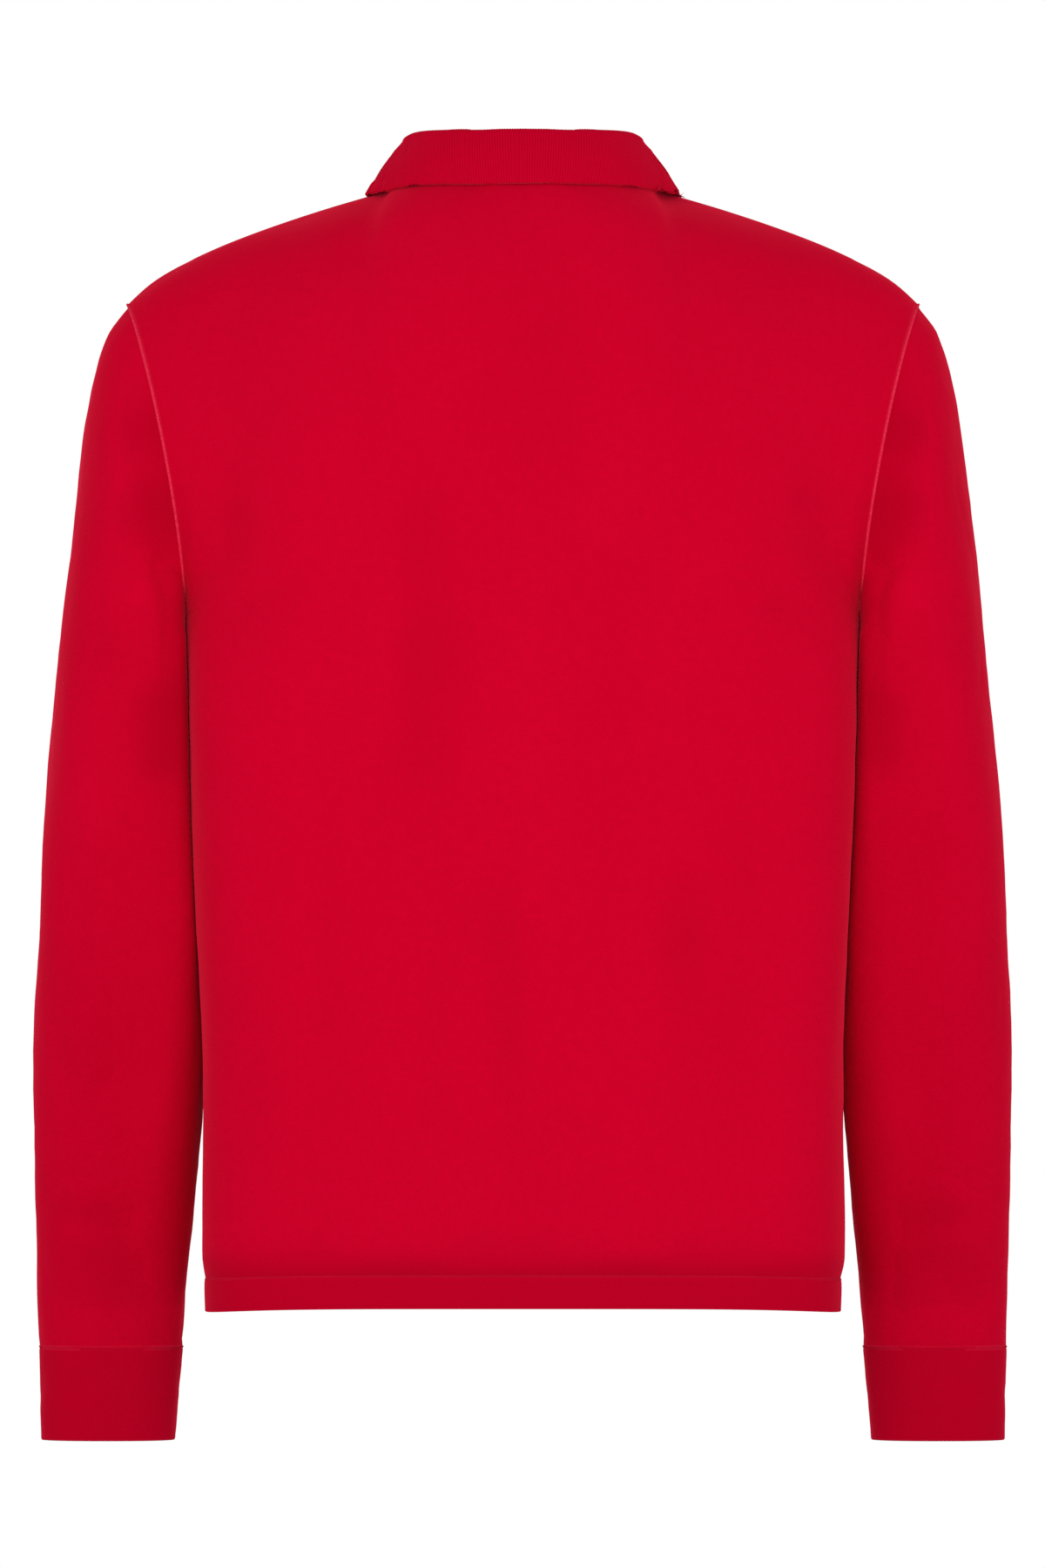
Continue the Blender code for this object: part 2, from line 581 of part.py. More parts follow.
def placket_strip(name, half_width, lift, wall, start, material):
    """A strip over the front's middle, made from the panel's points moved out by lift."""
    top = len(UPPER_FRONT) - 1
    slit = SLIT_STEP * top / ARMHOLE_STEPS
    steps = ARMHOLE_STEPS - SLIT_STEP
    levels = [slit + (top - slit) * i / steps for i in range(steps + 1)]
    if start > 0:
        levels[0] += start
    else:
        levels.insert(0, slit + start)
    grid = []
    for level in levels:
        stops = [half_width * i / STRIP_COLUMNS for i in range(STRIP_COLUMNS + 1)]
        grid.append(mirrored_row(half_row("front", upper_row("front", level), stops)))
    normals = grid_normals(grid, closed=False)
    grid = [[p + n * lift for p, n in zip(*line)] for line in zip(grid, normals)]
    return cloth_object(name, grid, normals, [wall] * len(grid), material)


def neck_outward(turn):
    """The level direction straight out from the neckline."""
    angle = math.radians(turn)
    reach = NECK_BACK_REACH if math.cos(angle) > 0 else NECK_FRONT_REACH
    return Vector((math.sin(angle) / NECK_HALF_WIDTH, math.cos(angle) / reach, 0)).normalized()


# A station with its fall's edge as a place
Anchor = namedtuple("Anchor", "turn stand lean swell x y z")


def anchors():
    """The collar's stations, with each fall's edge laid over its panel."""
    found = []
    for station in COLLAR:
        rest, normal = panel_point(station.panel, station.across, station.level)
        edge = rest + normal * (station.lift + RIB)
        found.append(Anchor(station.turn, station.stand, station.lean, station.swell, *edge))
    return found


def neck_turns(name):
    """The turns at which a panel's columns meet the neckline, from its middle to its side."""
    edge, neck = top_edge(name)
    stops = column_stops(length_of(edge), neck)[: NECK_COLUMNS + 1]
    start = 0 if name == "back" else 180
    return [start + (90 - start) * place / CURVE_SAMPLES for place in places(edge, stops)]


def collar_section(table, turn):
    """The collar's outer side at one turn: up the stand, over the fold and down the fall."""
    low = max(i for i, row in enumerate(table[:-1]) if row.turn <= turn)
    part = (turn - table[low].turn) / (table[low + 1].turn - table[low].turn)
    station = interpolated(table, low + part)
    base = neckline_point(turn) + Vector((0, 0, COLLAR_SEAT))
    out = neck_outward(turn)
    up = Vector((0, 0, 1))
    radius = RIB + FOLD_RADIUS
    lower = base - out * RIB
    upper = base + up * (station.stand - radius) - out * (RIB + station.lean)
    points = [lower.lerp(upper, i / STAND_STEPS) for i in range(STAND_STEPS + 1)]
    centre = upper + out * radius
    run = neckline_point(turn + 1) - neckline_point(turn - 1)
    crown = up * radius * run.length / math.hypot(run.x, run.y)
    for i in range(1, FOLD_STEPS + 1):
        bend = math.pi * i / FOLD_STEPS
        points.append(centre - out * radius * math.cos(bend) + crown * math.sin(bend))
    edge = Vector((station.x, station.y, station.z))
    start = points[-1]
    control = start.lerp(edge, 0.5) + (out + up) * station.swell
    for i in range(1, FALL_STEPS + 1):
        t = i / FALL_STEPS
        points.append(start * (1 - t) ** 2 + control * (2 * t * (1 - t)) + edge * t**2)
    return points


def collar(material):
    """The collar: one piece of rib knit, folded all round and open at the front."""
    table = anchors()
    turns = neck_turns("back") + neck_turns("front")[-2:0:-1] + [COLLAR[-1].turn]
    half = [collar_section(table, turn) for turn in turns]
    for point in half[0]:
        point.x = 0
    grid = [mirrored_row(list(line)) for line in zip(*half)]
    normals = grid_normals(grid, closed=False)
    normals[0] = [-direction for direction in mirrored_row([neck_outward(t) for t in turns])]
    return cloth_object("collar", grid, normals, [RIB] * len(grid), material)


def button(name, level, material):
    """A four-hole button, turned to lie on the top strip."""
    bm = bmesh.new()
    profile = (
        (0.0, BUTTON_HEIGHT - BUTTON_DISH),
        (BUTTON_RADIUS - BUTTON_RIM - BUTTON_ROUND, BUTTON_HEIGHT - BUTTON_DISH),
        (BUTTON_RADIUS - BUTTON_RIM, BUTTON_HEIGHT),
        (BUTTON_RADIUS - BUTTON_ROUND, BUTTON_HEIGHT),
        (BUTTON_RADIUS, BUTTON_HEIGHT - BUTTON_EDGE),
        (BUTTON_RADIUS - BUTTON_TAPER, BUTTON_ROUND),
        (BUTTON_RADIUS - BUTTON_FOOT, 0.0),
        (0.0, 0.0),
    )
    points = [bm.verts.new((r, 0, z)) for r, z in profile]
    edges = [bm.edges.new(pair) for pair in zip(points, points[1:])]
    bmesh.ops.spin(bm, geom=points + edges, axis=(0, 0, 1), cent=(0, 0, 0),
                   angle=2 * math.pi, steps=BUTTON_SIDES, use_merge=True)
    bmesh.ops.remove_doubles(bm, verts=bm.verts, dist=1e-6)
    bmesh.ops.recalc_face_normals(bm, faces=bm.faces)
    made = add_object(name, bm, material)
    for i in range(THREAD_HOLES):
        angle = math.pi / 4 + 2 * math.pi / THREAD_HOLES * i
        cutter = thread_hole(f"{name}_hole_{i}", angle)
        cutter.parent = made
        cut = made.modifiers.new(f"hole_{i}", "BOOLEAN")
        cut.object = cutter
        cut.operation = "DIFFERENCE"
    rest, normal = panel_point("front", 0.0, level)
    made.location = rest + normal * (LAYER + STRIP + BUTTON_SEAT)
    made.rotation_euler = normal.to_track_quat("Z", "Y").to_euler()
    return made


def thread_hole(name, angle):
    """A cutter for one of a button's holes."""
    bm = bmesh.new()
    bmesh.ops.create_cone(bm, cap_ends=True, segments=THREAD_HOLE_SIDES, radius1=THREAD_HOLE,
                          radius2=THREAD_HOLE, depth=BUTTON_HEIGHT * 3)
    mesh = bpy.data.meshes.new(name)
    bm.to_mesh(mesh)
    bm.free()
    made = bpy.data.objects.new(name, mesh)
    made.location = (
        THREAD_HOLE_REACH * math.cos(angle),
        THREAD_HOLE_REACH * math.sin(angle),
        BUTTON_HEIGHT / 2,
    )
    made.hide_render = True
    made.display_type = "WIRE"
    bpy.context.scene.collection.objects.link(made)
    return made


def main():
    for old in list(bpy.data.objects):
        bpy.data.objects.remove(old)
    jersey = material_of("jersey", RED, 0.9)
    rib = material_of("rib", RIB_RED, 0.9)
    plastic = material_of("button", BUTTON_RED, 0.35)
    shirt = bpy.data.objects.new("polo_shirt", None)
    bpy.context.scene.collection.objects.link(shirt)

    pieces = [panel("back", jersey), panel("front", jersey), collar(rib)]
    for word, side in (("left", 1), ("right", -1)):
        sleeve_walls = [CLOTH] * len(SLEEVE)
        pieces.append(tube(f"sleeve_{word}", SLEEVE, side, sleeve_walls, jersey))
        pieces.append(tube(f"cuff_{word}", CUFF, side, [DOUBLE] * len(CUFF), jersey))
    pieces.append(
        placket_strip("placket_under", SLIT_HALF_WIDTH - LAYER, 0.0, CLOTH, STRIP_END_GAP, jersey)
    )
    pieces.append(
        placket_strip("placket_top", STRIP_HALF_WIDTH, LAYER + STRIP, STRIP, -STRIP_TAIL, jersey)
    )
    for i, level in enumerate(BUTTON_LEVELS):
        pieces.append(button(f"button_{i + 1}", level, plastic))
    for piece in pieces:
        piece.parent = shirt


main()
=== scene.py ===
import math

import bmesh
import bpy
import numpy as np
from mathutils import Matrix, Vector, noise
from mathutils.bvhtree import BVHTree
from mathutils.kdtree import KDTree


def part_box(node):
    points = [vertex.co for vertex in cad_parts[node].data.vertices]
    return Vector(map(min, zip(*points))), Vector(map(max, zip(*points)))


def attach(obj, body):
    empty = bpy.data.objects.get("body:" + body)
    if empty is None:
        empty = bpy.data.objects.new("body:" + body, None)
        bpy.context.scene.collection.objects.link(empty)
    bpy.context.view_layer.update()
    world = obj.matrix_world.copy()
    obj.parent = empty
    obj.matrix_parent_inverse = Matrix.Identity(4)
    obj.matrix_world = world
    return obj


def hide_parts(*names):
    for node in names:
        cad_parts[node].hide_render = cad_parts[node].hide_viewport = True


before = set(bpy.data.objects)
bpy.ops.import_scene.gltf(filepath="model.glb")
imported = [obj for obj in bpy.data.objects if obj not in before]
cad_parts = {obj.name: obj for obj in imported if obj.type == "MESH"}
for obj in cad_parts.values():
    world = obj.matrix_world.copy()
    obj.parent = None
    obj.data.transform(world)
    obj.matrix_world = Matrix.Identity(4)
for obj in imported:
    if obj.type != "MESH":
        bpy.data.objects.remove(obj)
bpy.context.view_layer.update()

print("frame loaded:", sorted(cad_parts))


def addNode(tree, kind, settings=None, sockets=None, output=0):
    node = tree.nodes.new("ShaderNode" + kind)
    for key, value in (settings or {}).items():
        setattr(node, key, value)
    for key, value in (sockets or {}).items():
        if isinstance(value, Wire):
            tree.links.new(value.socket, node.inputs[key])
        elif value is not None:
            node.inputs[key].default_value = value
    return Wire(tree, node.outputs[output])


class Wire:  # a shader socket that can stand in a sum
    def __init__(self, tree, socket):
        self.tree, self.socket = tree, socket

    def maths(self, operation, *values):
        return addNode(self.tree, "Math", {"operation": operation}, dict(enumerate(values)))

    def __add__(self, other):
        return self.maths("ADD", self, other)

    def __radd__(self, other):
        return self.maths("ADD", other, self)

    def __sub__(self, other):
        return self.maths("SUBTRACT", self, other)

    def __rsub__(self, other):
        return self.maths("SUBTRACT", other, self)

    def __mul__(self, other):
        return self.maths("MULTIPLY", self, other)

    def __rmul__(self, other):
        return self.maths("MULTIPLY", other, self)

    def sine(self):
        return self.maths("SINE", self)

    def cosine(self):
        return self.maths("COSINE", self)

    def zigzag(self, step):
        return self.maths("PINGPONG", self, step)

    def smooth(self, low, high):
        settings = {"interpolation_type": "SMOOTHSTEP"}
        return addNode(self.tree, "MapRange", settings, {"Value": self, "From Min": low, "From Max": high})


class Finish:  # a material and what feeds it
    def __init__(self, name, look):
        self.material = bpy.data.materials.new(name)
        self.material.use_nodes = True
        self.tree = self.material.node_tree
        self.shader = self.tree.nodes["Principled BSDF"]
        for socket, value in look.items():
            self.shader.inputs[socket].default_value = value

    def add(self, kind, settings=None, sockets=None, output=0):
        return addNode(self.tree, kind, settings, sockets, output)

    def blend(self, factor, first, second):
        return self.add("Mix", {"data_type": "RGBA"}, {0: factor, 6: first, 7: second}, 2)

    def speckle(self, place, scale, detail):
        return self.add("TexNoise", {}, {"Vector": place, "Scale": scale, "Detail": detail})

    def mapAxes(self, name):
        place = self.add("UVMap", {"uv_map": name})
        return [self.add("SeparateXYZ", {}, {0: place}, i) for i in (0, 1)]

    def paintShadeAndHighlight(self, look, plain):  # painted shade where the cloth lies double, painted highlight along its edges
        fromEdge, doubleShade = self.mapAxes("painted_light")
        shaded = self.blend(doubleShade, plain, look["doubleShadeColour"])
        edgeHighlight = (1 - fromEdge.smooth(*look["edgeHighlightReach"])) * look["edgeHighlightShare"]
        return self.blend(edgeHighlight, shaded, look["edgeHighlightColour"])

    def feed(self, socket, wire):
        self.tree.links.new(wire.socket, self.shader.inputs[socket])

    def bump(self, height, distance, strength):
        sockets = {"Height": height, "Distance": distance, "Strength": strength}
        self.feed("Normal", self.add("Bump", {}, sockets))


clothShader = {
    "Roughness": 0.95, "Specular IOR Level": 0.004, "Sheen Weight": 0.60,
    "Sheen Roughness": 0.4, "Sheen Tint": (1.0, 0.04, 0.09, 1.0),
}
jerseyLook = {
    "colour": (0.585, 0.0004, 0.0215, 1.0),
    "deepColour": (0.530, 0.0003, 0.0190, 1.0),
    # painted shade on the hem band and cuffs, where the cloth lies double
    "doubleShadeColour": (0.462, 0.0003, 0.0165, 1.0),
    # painted highlight along seams, rims and edges
    "edgeHighlightColour": (0.760, 0.0220, 0.0700, 1.0),
    "edgeHighlightReach": (0.0006, 0.0030), "edgeHighlightShare": 0.40,
    "hollowShadeColour": (0.450, 0.0002, 0.0150, 1.0),   # painted shade at the bottom of a fold
    "ridgeHighlightColour": (0.625, 0.0007, 0.0250, 1.0),    # painted highlight on its ridges
    "foldReach": 0.0045,                            # how deep a fold is at its full painted shade, and how high at its full painted highlight
    "wale": 0.00115,       # width of a column of loops
    "course": 0.00085,     # height of a row
    "loopHeight": 0.00010,
    "cloudScale": 16.0, "mottleScale": 240.0, "grainScale": 1100.0,
    "cloudShare": 0.3, "mottleShare": 0.7, "grainShare": 0.6,
    "loopRelief": 1.2, "rowRelief": 0.35, "mottleRelief": 0.9,
}


def jerseyCloth(name, look):
    cloth = Finish(name, clothShader)
    place = cloth.add("TexCoord", {}, {}, 3)
    across, up = cloth.mapAxes("cloth")
    cloudy = cloth.speckle(place, look["cloudScale"], 3.0)
    mottle = cloth.speckle(place, look["mottleScale"], 2.0)
    grain = cloth.speckle(place, look["grainScale"], 1.0)
    shade = 0.5 + (cloudy - 0.5) * look["cloudShare"] + (mottle - 0.5) * look["mottleShare"]
    shade = shade + (grain - 0.5) * look["grainShare"]
    plain = cloth.blend(shade.smooth(0.1, 0.9), look["colour"], look["deepColour"])
    # painted shade in the folds' troughs, painted highlight on their ridges
    folded = cloth.mapAxes("fold")[0]
    foldShaded = cloth.blend(folded.smooth(0, look["foldReach"]), plain, look["hollowShadeColour"])
    raised = cloth.blend((0 - folded).smooth(0, look["foldReach"]), foldShaded, look["ridgeHighlightColour"])
    cloth.feed("Base Color", cloth.paintShadeAndHighlight(look, raised))
    loops = (across * (1 / look["wale"])).zigzag(0.5)
    rows = (up * (math.tau / look["course"]) + loops * math.pi).sine()
    relief = loops * look["loopRelief"] + rows * look["rowRelief"] + mottle * look["mottleRelief"]
    cloth.bump(relief, look["loopHeight"], 0.5)
    return cloth.material


ribLook = {
    "colour": (0.560, 0.0004, 0.0215, 1.0),
    # deep colour for painted shade in the rib grooves, mixed with random mottle
    "deepColour": (0.430, 0.0002, 0.0155, 1.0),
    # painted shade where the cloth lies double
    "doubleShadeColour": (0.485, 0.0003, 0.0175, 1.0),
    # painted highlight along the collar's rims
    "edgeHighlightColour": (0.740, 0.0220, 0.0700, 1.0),
    "edgeHighlightReach": (0.0003, 0.0016), "edgeHighlightShare": 0.35,
    "ribWidth": 0.00154,
    "course": 0.00100,
    "loopHeight": 0.00007,
    "mottleScale": 260.0, "grooveShadeShare": 0.8, "mottleShare": 0.5, "rowRelief": 0.6,
}


def ribCloth(name, look):
    cloth = Finish(name, clothShader)
    place = cloth.add("TexCoord", {}, {}, 3)
    across, up = cloth.mapAxes("cloth")
    # painted shade in the grooves between the ribs
    grooveShade = 0.5 - 0.5 * (across * (math.tau / look["ribWidth"])).cosine()
    mottle = cloth.speckle(place, look["mottleScale"], 2.0)
    shade = grooveShade * look["grooveShadeShare"] + (mottle - 0.5) * look["mottleShare"]
    plain = cloth.blend(shade.smooth(0.0, 1.0), look["colour"], look["deepColour"])
    cloth.feed("Base Color", cloth.paintShadeAndHighlight(look, plain))
    rows = (up * (math.tau / look["course"])).sine()
    cloth.bump(rows * look["rowRelief"] + mottle, look["loopHeight"], 0.5)
    return cloth.material


threadLook = {"colour": (0.600, 0.0030, 0.0300, 1.0), "deepColour": (0.480, 0.0010, 0.0200, 1.0)}
# the armhole roll is paler than the cloth: painted highlight along the seam
armholeHighlightLook = {"colour": (0.780, 0.0300, 0.0760, 1.0), "deepColour": (0.680, 0.0120, 0.0520, 1.0)}
cuffSeamLook = {"colour": (0.580, 0.0010, 0.0240, 1.0), "deepColour": (0.500, 0.0004, 0.0180, 1.0)}
rollLook = {
    "shader": {"Roughness": 0.9, "Specular IOR Level": 0.02},
    "fuzzScale": 900.0, "fuzzHeight": 0.00005,
}


def rolledCloth(name, look):
    rolled = Finish(name, rollLook["shader"])
    fuzz = rolled.speckle(rolled.add("TexCoord", {}, {}, 3), rollLook["fuzzScale"], 2.0)
    rolled.feed("Base Color", rolled.blend(fuzz.smooth(0.3, 0.7), look["colour"], look["deepColour"]))
    rolled.bump(fuzz, rollLook["fuzzHeight"], 0.5)
    return rolled.material


plasticLook = {
    "colour": (0.430, 0.0020, 0.0180, 1.0),
    "deepColour": (0.300, 0.0010, 0.0120, 1.0),
    "swirlScale": 420.0, "swirlHeight": 0.00003,
    "shader": {"Roughness": 0.42, "Specular IOR Level": 0.2, "Coat Weight": 0.06, "Coat Roughness": 0.2},
}


def buttonPlastic(name, look):
    plastic = Finish(name, look["shader"])
    place = plastic.add("TexCoord", {}, {}, 3)
    swirl = plastic.speckle(place, look["swirlScale"], 3.0)
    plastic.feed("Base Color", plastic.blend(swirl.smooth(0.3, 0.8), look["colour"], look["deepColour"]))
    plastic.bump(swirl, look["swirlHeight"], 0.3)
    return plastic.material


jersey = jerseyCloth("jersey", jerseyLook)
rib = ribCloth("rib", ribLook)
thread = rolledCloth("thread", threadLook)
armholeHighlightRoll = rolledCloth("armhole_roll_highlight", armholeHighlightLook)
cuffRoll = rolledCloth("cuff_roll", cuffSeamLook)
plastic = buttonPlastic("button", plasticLook)
print("finishes made")


shellLook = {
    "mergeReach": 0.00002,
    "rimAngle": 62.0,      # degrees between a wall's side and its rim
    "fitTurns": 4,         # rounds of fitting the smooth shell to the solid's own points
    "rimFade": 0.012,      # creases die out this close to a seam or hem
    "edgeSteps": 2,
    "flatAngle": 60.0,     # two triangles of the solid make one face up to this angle between them
    "cornerReach": 0.003,
    "sectionStep": 0.012,
    "panelSquareness": 3.2, "tubeSquareness": 2.4,
}


def coordinates(mesh):
    flat = np.empty(3 * len(mesh.vertices))
    mesh.vertices.foreach_get("co", flat)
    return flat.reshape(-1, 3)


def setCoordinates(mesh, points):
    mesh.vertices.foreach_set("co", np.ravel(points))
    mesh.update()


def normalsOf(mesh):
    flat = np.empty(3 * len(mesh.vertices))
    mesh.vertex_normals.foreach_get("vector", flat)
    return flat.reshape(-1, 3)


def evaluated(piece):
    return piece.evaluated_get(bpy.context.evaluated_depsgraph_get())


def triangleCopy(node):
    cage = bmesh.new()
    cage.from_mesh(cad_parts[node].data)
    bmesh.ops.remove_doubles(cage, verts=cage.verts, dist=shellLook["mergeReach"])
    return cage


def joinPairs(cage, faces):
    bmesh.ops.join_triangles(
        cage, faces=faces, angle_face_threshold=math.radians(shellLook["flatAngle"]),
        angle_shape_threshold=math.pi, topology_influence=8.0,
    )


def atRim(edge):
    return edge.calc_face_angle(0.0) > math.radians(shellLook["rimAngle"])


def addObject(name, data):
    thing = bpy.data.objects.new(name, data)
    bpy.context.scene.collection.objects.link(thing)
    return thing


def addPiece(name, cage):
    mesh = bpy.data.meshes.new(name)
    cage.to_mesh(mesh)
    cage.free()
    return addObject(name, mesh)


def smoothShell(name, cage, levels, sharpPoints=()):
    # a subdivided shell that passes through the solid's own points, sharp only at its rims
    rims = cage.edges.layers.float.new("crease_edge")
    corners = cage.verts.layers.float.new("crease_vert")
    for edge in cage.edges:
        edge[rims] = float(atRim(edge))
    for point in sharpPoints:
        for vert in cage.verts:
            if (vert.co - point).length < shellLook["cornerReach"]:
                vert[corners] = 1.0
    shell = addPiece(name, cage)
    rounding = shell.modifiers.new("rounding", "SUBSURF")
    rounding.levels = rounding.render_levels = 1
    wanted = coordinates(shell.data)
    held = wanted.copy()
    for turn in range(shellLook["fitTurns"]):
        held += wanted - coordinates(evaluated(shell).data)[: len(wanted)]
        setCoordinates(shell.data, held)
    rounding.levels = rounding.render_levels = levels
    finished = bpy.data.meshes.new_from_object(evaluated(shell))
    shell.modifiers.clear()
    shell.data = finished
    return shell


def sides(mesh):
    # the faces of each side of the wall: groups that no rim crosses, the outermost ones first
    groups, seen = [], set()
    for seed in mesh.faces:
        if seed in seen:
            continue
        group, waiting = [], [seed]
        seen.add(seed)
        while waiting:
            face = waiting.pop()
            group.append(face)
            for edge in face.edges:
                if atRim(edge):
                    continue
                for other in edge.link_faces:
                    if other not in seen:
                        seen.add(other)
                        waiting.append(other)
        groups.append(group)
    return sorted(groups, key=lambda group: -sum(face.calc_area() for face in group))


def rimOf(mesh):
    return {vert for edge in mesh.edges if atRim(edge) for vert in edge.verts}


def distances(mesh, rim):
    # how far each point lies from the nearest of some others
    tree = KDTree(len(rim))
    for i, vert in enumerate(rim):
        tree.insert(vert.co, i)
    tree.balance()
    return np.array([tree.find(vert.co)[2] for vert in mesh.verts])


def outerPoints(shell, outward):
    # which points lie on the outer side, and how far every point is from a rim
    mesh = bmesh.new()
    mesh.from_mesh(shell.data)
    mesh.verts.ensure_lookup_table()
    pair = sides(mesh)[:2]
    outer = max(pair, key=lambda group: max(outward(vert.co) for face in group for vert in face.verts))
    onSide = {vert.index for face in outer for vert in face.verts}
    away = distances(mesh, rimOf(mesh))
    mesh.free()
    return np.array(sorted(onSide)), away


def sectionArcs(points, centred, squareness):
    # each point's place in its level section, a quarter of the girth, and the share walked round it
    step = shellLook["sectionStep"]
    heights = np.arange(points[:, 2].min() + step / 2, points[:, 2].max(), step)
    ends = []
    for height in heights:
        near = points[np.abs(points[:, 2] - height) < step][:, :2]
        ends.append(np.concatenate([near.min(axis=0), near.max(axis=0)]))
    lowX, lowY, highX, highY = (np.interp(points[:, 2], heights, column) for column in np.array(ends).T)
    if centred:
        middle = np.zeros((len(points), 2))
        half = np.stack([np.maximum(highX, -lowX), np.maximum(np.abs(highY), np.abs(lowY))], axis=1)
    else:
        middle = np.stack([lowX + highX, lowY + highY], axis=1) / 2
        half = np.stack([highX - lowX, highY - lowY], axis=1) / 2
    offset = points[:, :2] - middle
    turn = np.arctan2(np.abs(offset[:, 1]) / half[:, 1], np.abs(offset[:, 0]) / half[:, 0])
    angle = np.linspace(0, math.pi / 2, 60)
    wide, deep = np.cos(angle).clip(0) ** (2 / squareness), np.sin(angle) ** (2 / squareness)
    flatness = np.mean(half[:, 1] / half[:, 0])
    arc = np.concatenate([[0], np.cumsum(np.hypot(np.diff(wide), np.diff(deep) * flatness))])
    quarter = half[:, 0] * arc[-1]
    share = np.interp(turn, np.arctan2(deep, wide), arc / arc[-1])
    return offset, quarter, share


def panelCloth(points):
    offset, quarter, share = sectionArcs(points, True, shellLook["panelSquareness"])
    across = np.sign(offset[:, 0]) * quarter * (1 - share)
    return np.stack([across, points[:, 2]], axis=1), None


def tubeCloth(points, side):
    offset, quarter, share = sectionArcs(points, False, shellLook["tubeSquareness"])
    outside = offset[:, 0] * side > 0
    across = np.sign(offset[:, 1]) * np.where(outside, share, 2 - share) * quarter
    return np.stack([across, points[:, 2]], axis=1), 4 * quarter


def writeMap(mesh, name, values, girth=None):
    corner = np.empty(len(mesh.loops), dtype=int)
    mesh.loops.foreach_get("vertex_index", corner)
    flat = values[corner]
    if girth is not None:  # the map's seam runs down the tube's inner side
        faces = flat.reshape(-1, 4, 2)
        around = girth[corner].reshape(-1, 4)
        torn = np.ptp(faces[:, :, 0], axis=1) > around[:, 0] / 2
        faces[torn, :, 0] += around[torn] * (faces[torn, :, 0] < 0)
    layer = mesh.uv_layers.get(name) or mesh.uv_layers.new(name=name)
    layer.data.foreach_set("uv", flat.ravel())


def doubleShadeShare(heights, look):
    # how much painted shade the cloth gets where it lies double, from the top of a turned hem down
    top, bottom, share = look.get("doubleShade", (0, -1, 0))
    reach = np.clip((top - heights) / (top - bottom), 0, 1)
    return share * reach * reach * (3 - 2 * reach)


creaseLook = {
    "steps": 10,
    "shoulder": 0.4,       # how high the low ridges beside a trough are
    "unevenness": ((0.22, 9.0, 1.0), (0.13, 21.0, 2.3)),   # its share, its waves and its shift
    "widthSway": 0.25,
    "endShare": 0.04, "endFade": 1.3,
}


def creaseDepth(cloth, creases):
    # how deep each point lies: a soft trough with low shoulders along each bent, uneven line
    depth = np.zeros(len(cloth))
    steps, sway, ends = (creaseLook[key] for key in ("steps", "widthSway", "endShare"))
    along = np.linspace(0, 1, steps + 1)[:, None]
    for number, (start, bend, end, width, deep) in enumerate(creases):
        start, bend, end = (np.array(place) for place in (start, bend, end))
        line = start * (1 - along) ** 2 + bend * 2 * along * (1 - along) + end * along**2
        nearest = np.full(len(cloth), 1.0)
        place = np.zeros(len(cloth))
        for i, run in enumerate(np.diff(line, axis=0)):
            offset = cloth - line[i]
            share = np.clip(offset @ run / (run @ run), 0, 1)
            away = np.hypot(*(offset - share[:, None] * run).T)
            closer = away < nearest
            nearest[closer] = away[closer]
            place[closer] = (i + share[closer]) / steps
        uneven = 1
        for share, waves, shift in creaseLook["unevenness"]:
            uneven = uneven + share * np.sin(waves * place + shift * number)
        reach = nearest / (width * (1 - sway + sway * uneven))
        fade = np.sin(math.pi * np.clip(ends + (1 - 2 * ends) * place, 0, 1)) ** creaseLook["endFade"]
        depth += deep * uneven * fade * (1 - creaseLook["shoulder"] * reach**2) * np.exp(-(reach**2) / 2)
    return depth


def hang(points, waves):
    # slow waves in the hanging cloth, longer up than across, each (across, up, depth) in metres
    depth = np.zeros(len(points))
    for number, (across, up, deep) in enumerate(waves):
        for i, (x, y, z) in enumerate(points):
            depth[i] += deep * noise.noise((x / across, y / across, z / up + 7.3 * number))
    return depth


def crease(shell, look, mapped, outward):
    # presses the outer side in, and moves every other point of the wall with it
    points = coordinates(shell.data)
    cloth, girth = mapped
    outer, away = outerPoints(shell, outward)
    fade = np.clip(away[outer] / look.get("rimFade", shellLook["rimFade"]), 0, 1)
    fade = fade * fade * (3 - 2 * fade)
    depth = creaseDepth(cloth[outer], look["creases"]) + hang(points[outer], look["waves"])
    if "deepest" in look:
        limit = np.where(depth > 0, look["deepest"], look["proudest"])
        depth = limit * np.tanh(depth / limit)
    push = -normalsOf(shell.data)[outer] * (depth * fade)[:, None]
    tree = KDTree(len(outer))
    for i, index in enumerate(outer):
        tree.insert(points[index], i)
    tree.balance()
    nearest = [tree.find(point)[1] for point in points]
    setCoordinates(shell.data, points + push[nearest])
    writeMap(shell.data, "cloth", cloth, girth)
    # the fold's depth, for painted shade in its trough and painted highlight on its ridges
    paintedFoldLight = depth[nearest] * look.get("foldShading", 1)
    writeMap(shell.data, "fold", np.stack([paintedFoldLight, np.zeros(len(paintedFoldLight))], axis=1))
    # painted shade where the cloth lies double, and how far from the rim the painted edge highlight starts
    doubleShade = doubleShadeShare(points[:, 2], look)
    fromEdge = away + look["edgeStart"] + doubleShade * look.get("hemStart", 0)
    writeMap(shell.data, "painted_light", np.stack([fromEdge, doubleShade], axis=1))


def treeOf(*shells):
    points, faces = [], []
    for shell in shells:
        start = len(points)
        points += [Vector(point) for point in coordinates(shell.data)]
        faces += [[start + i for i in face.vertices] for face in shell.data.polygons]
    return BVHTree.FromPolygons(points, faces)


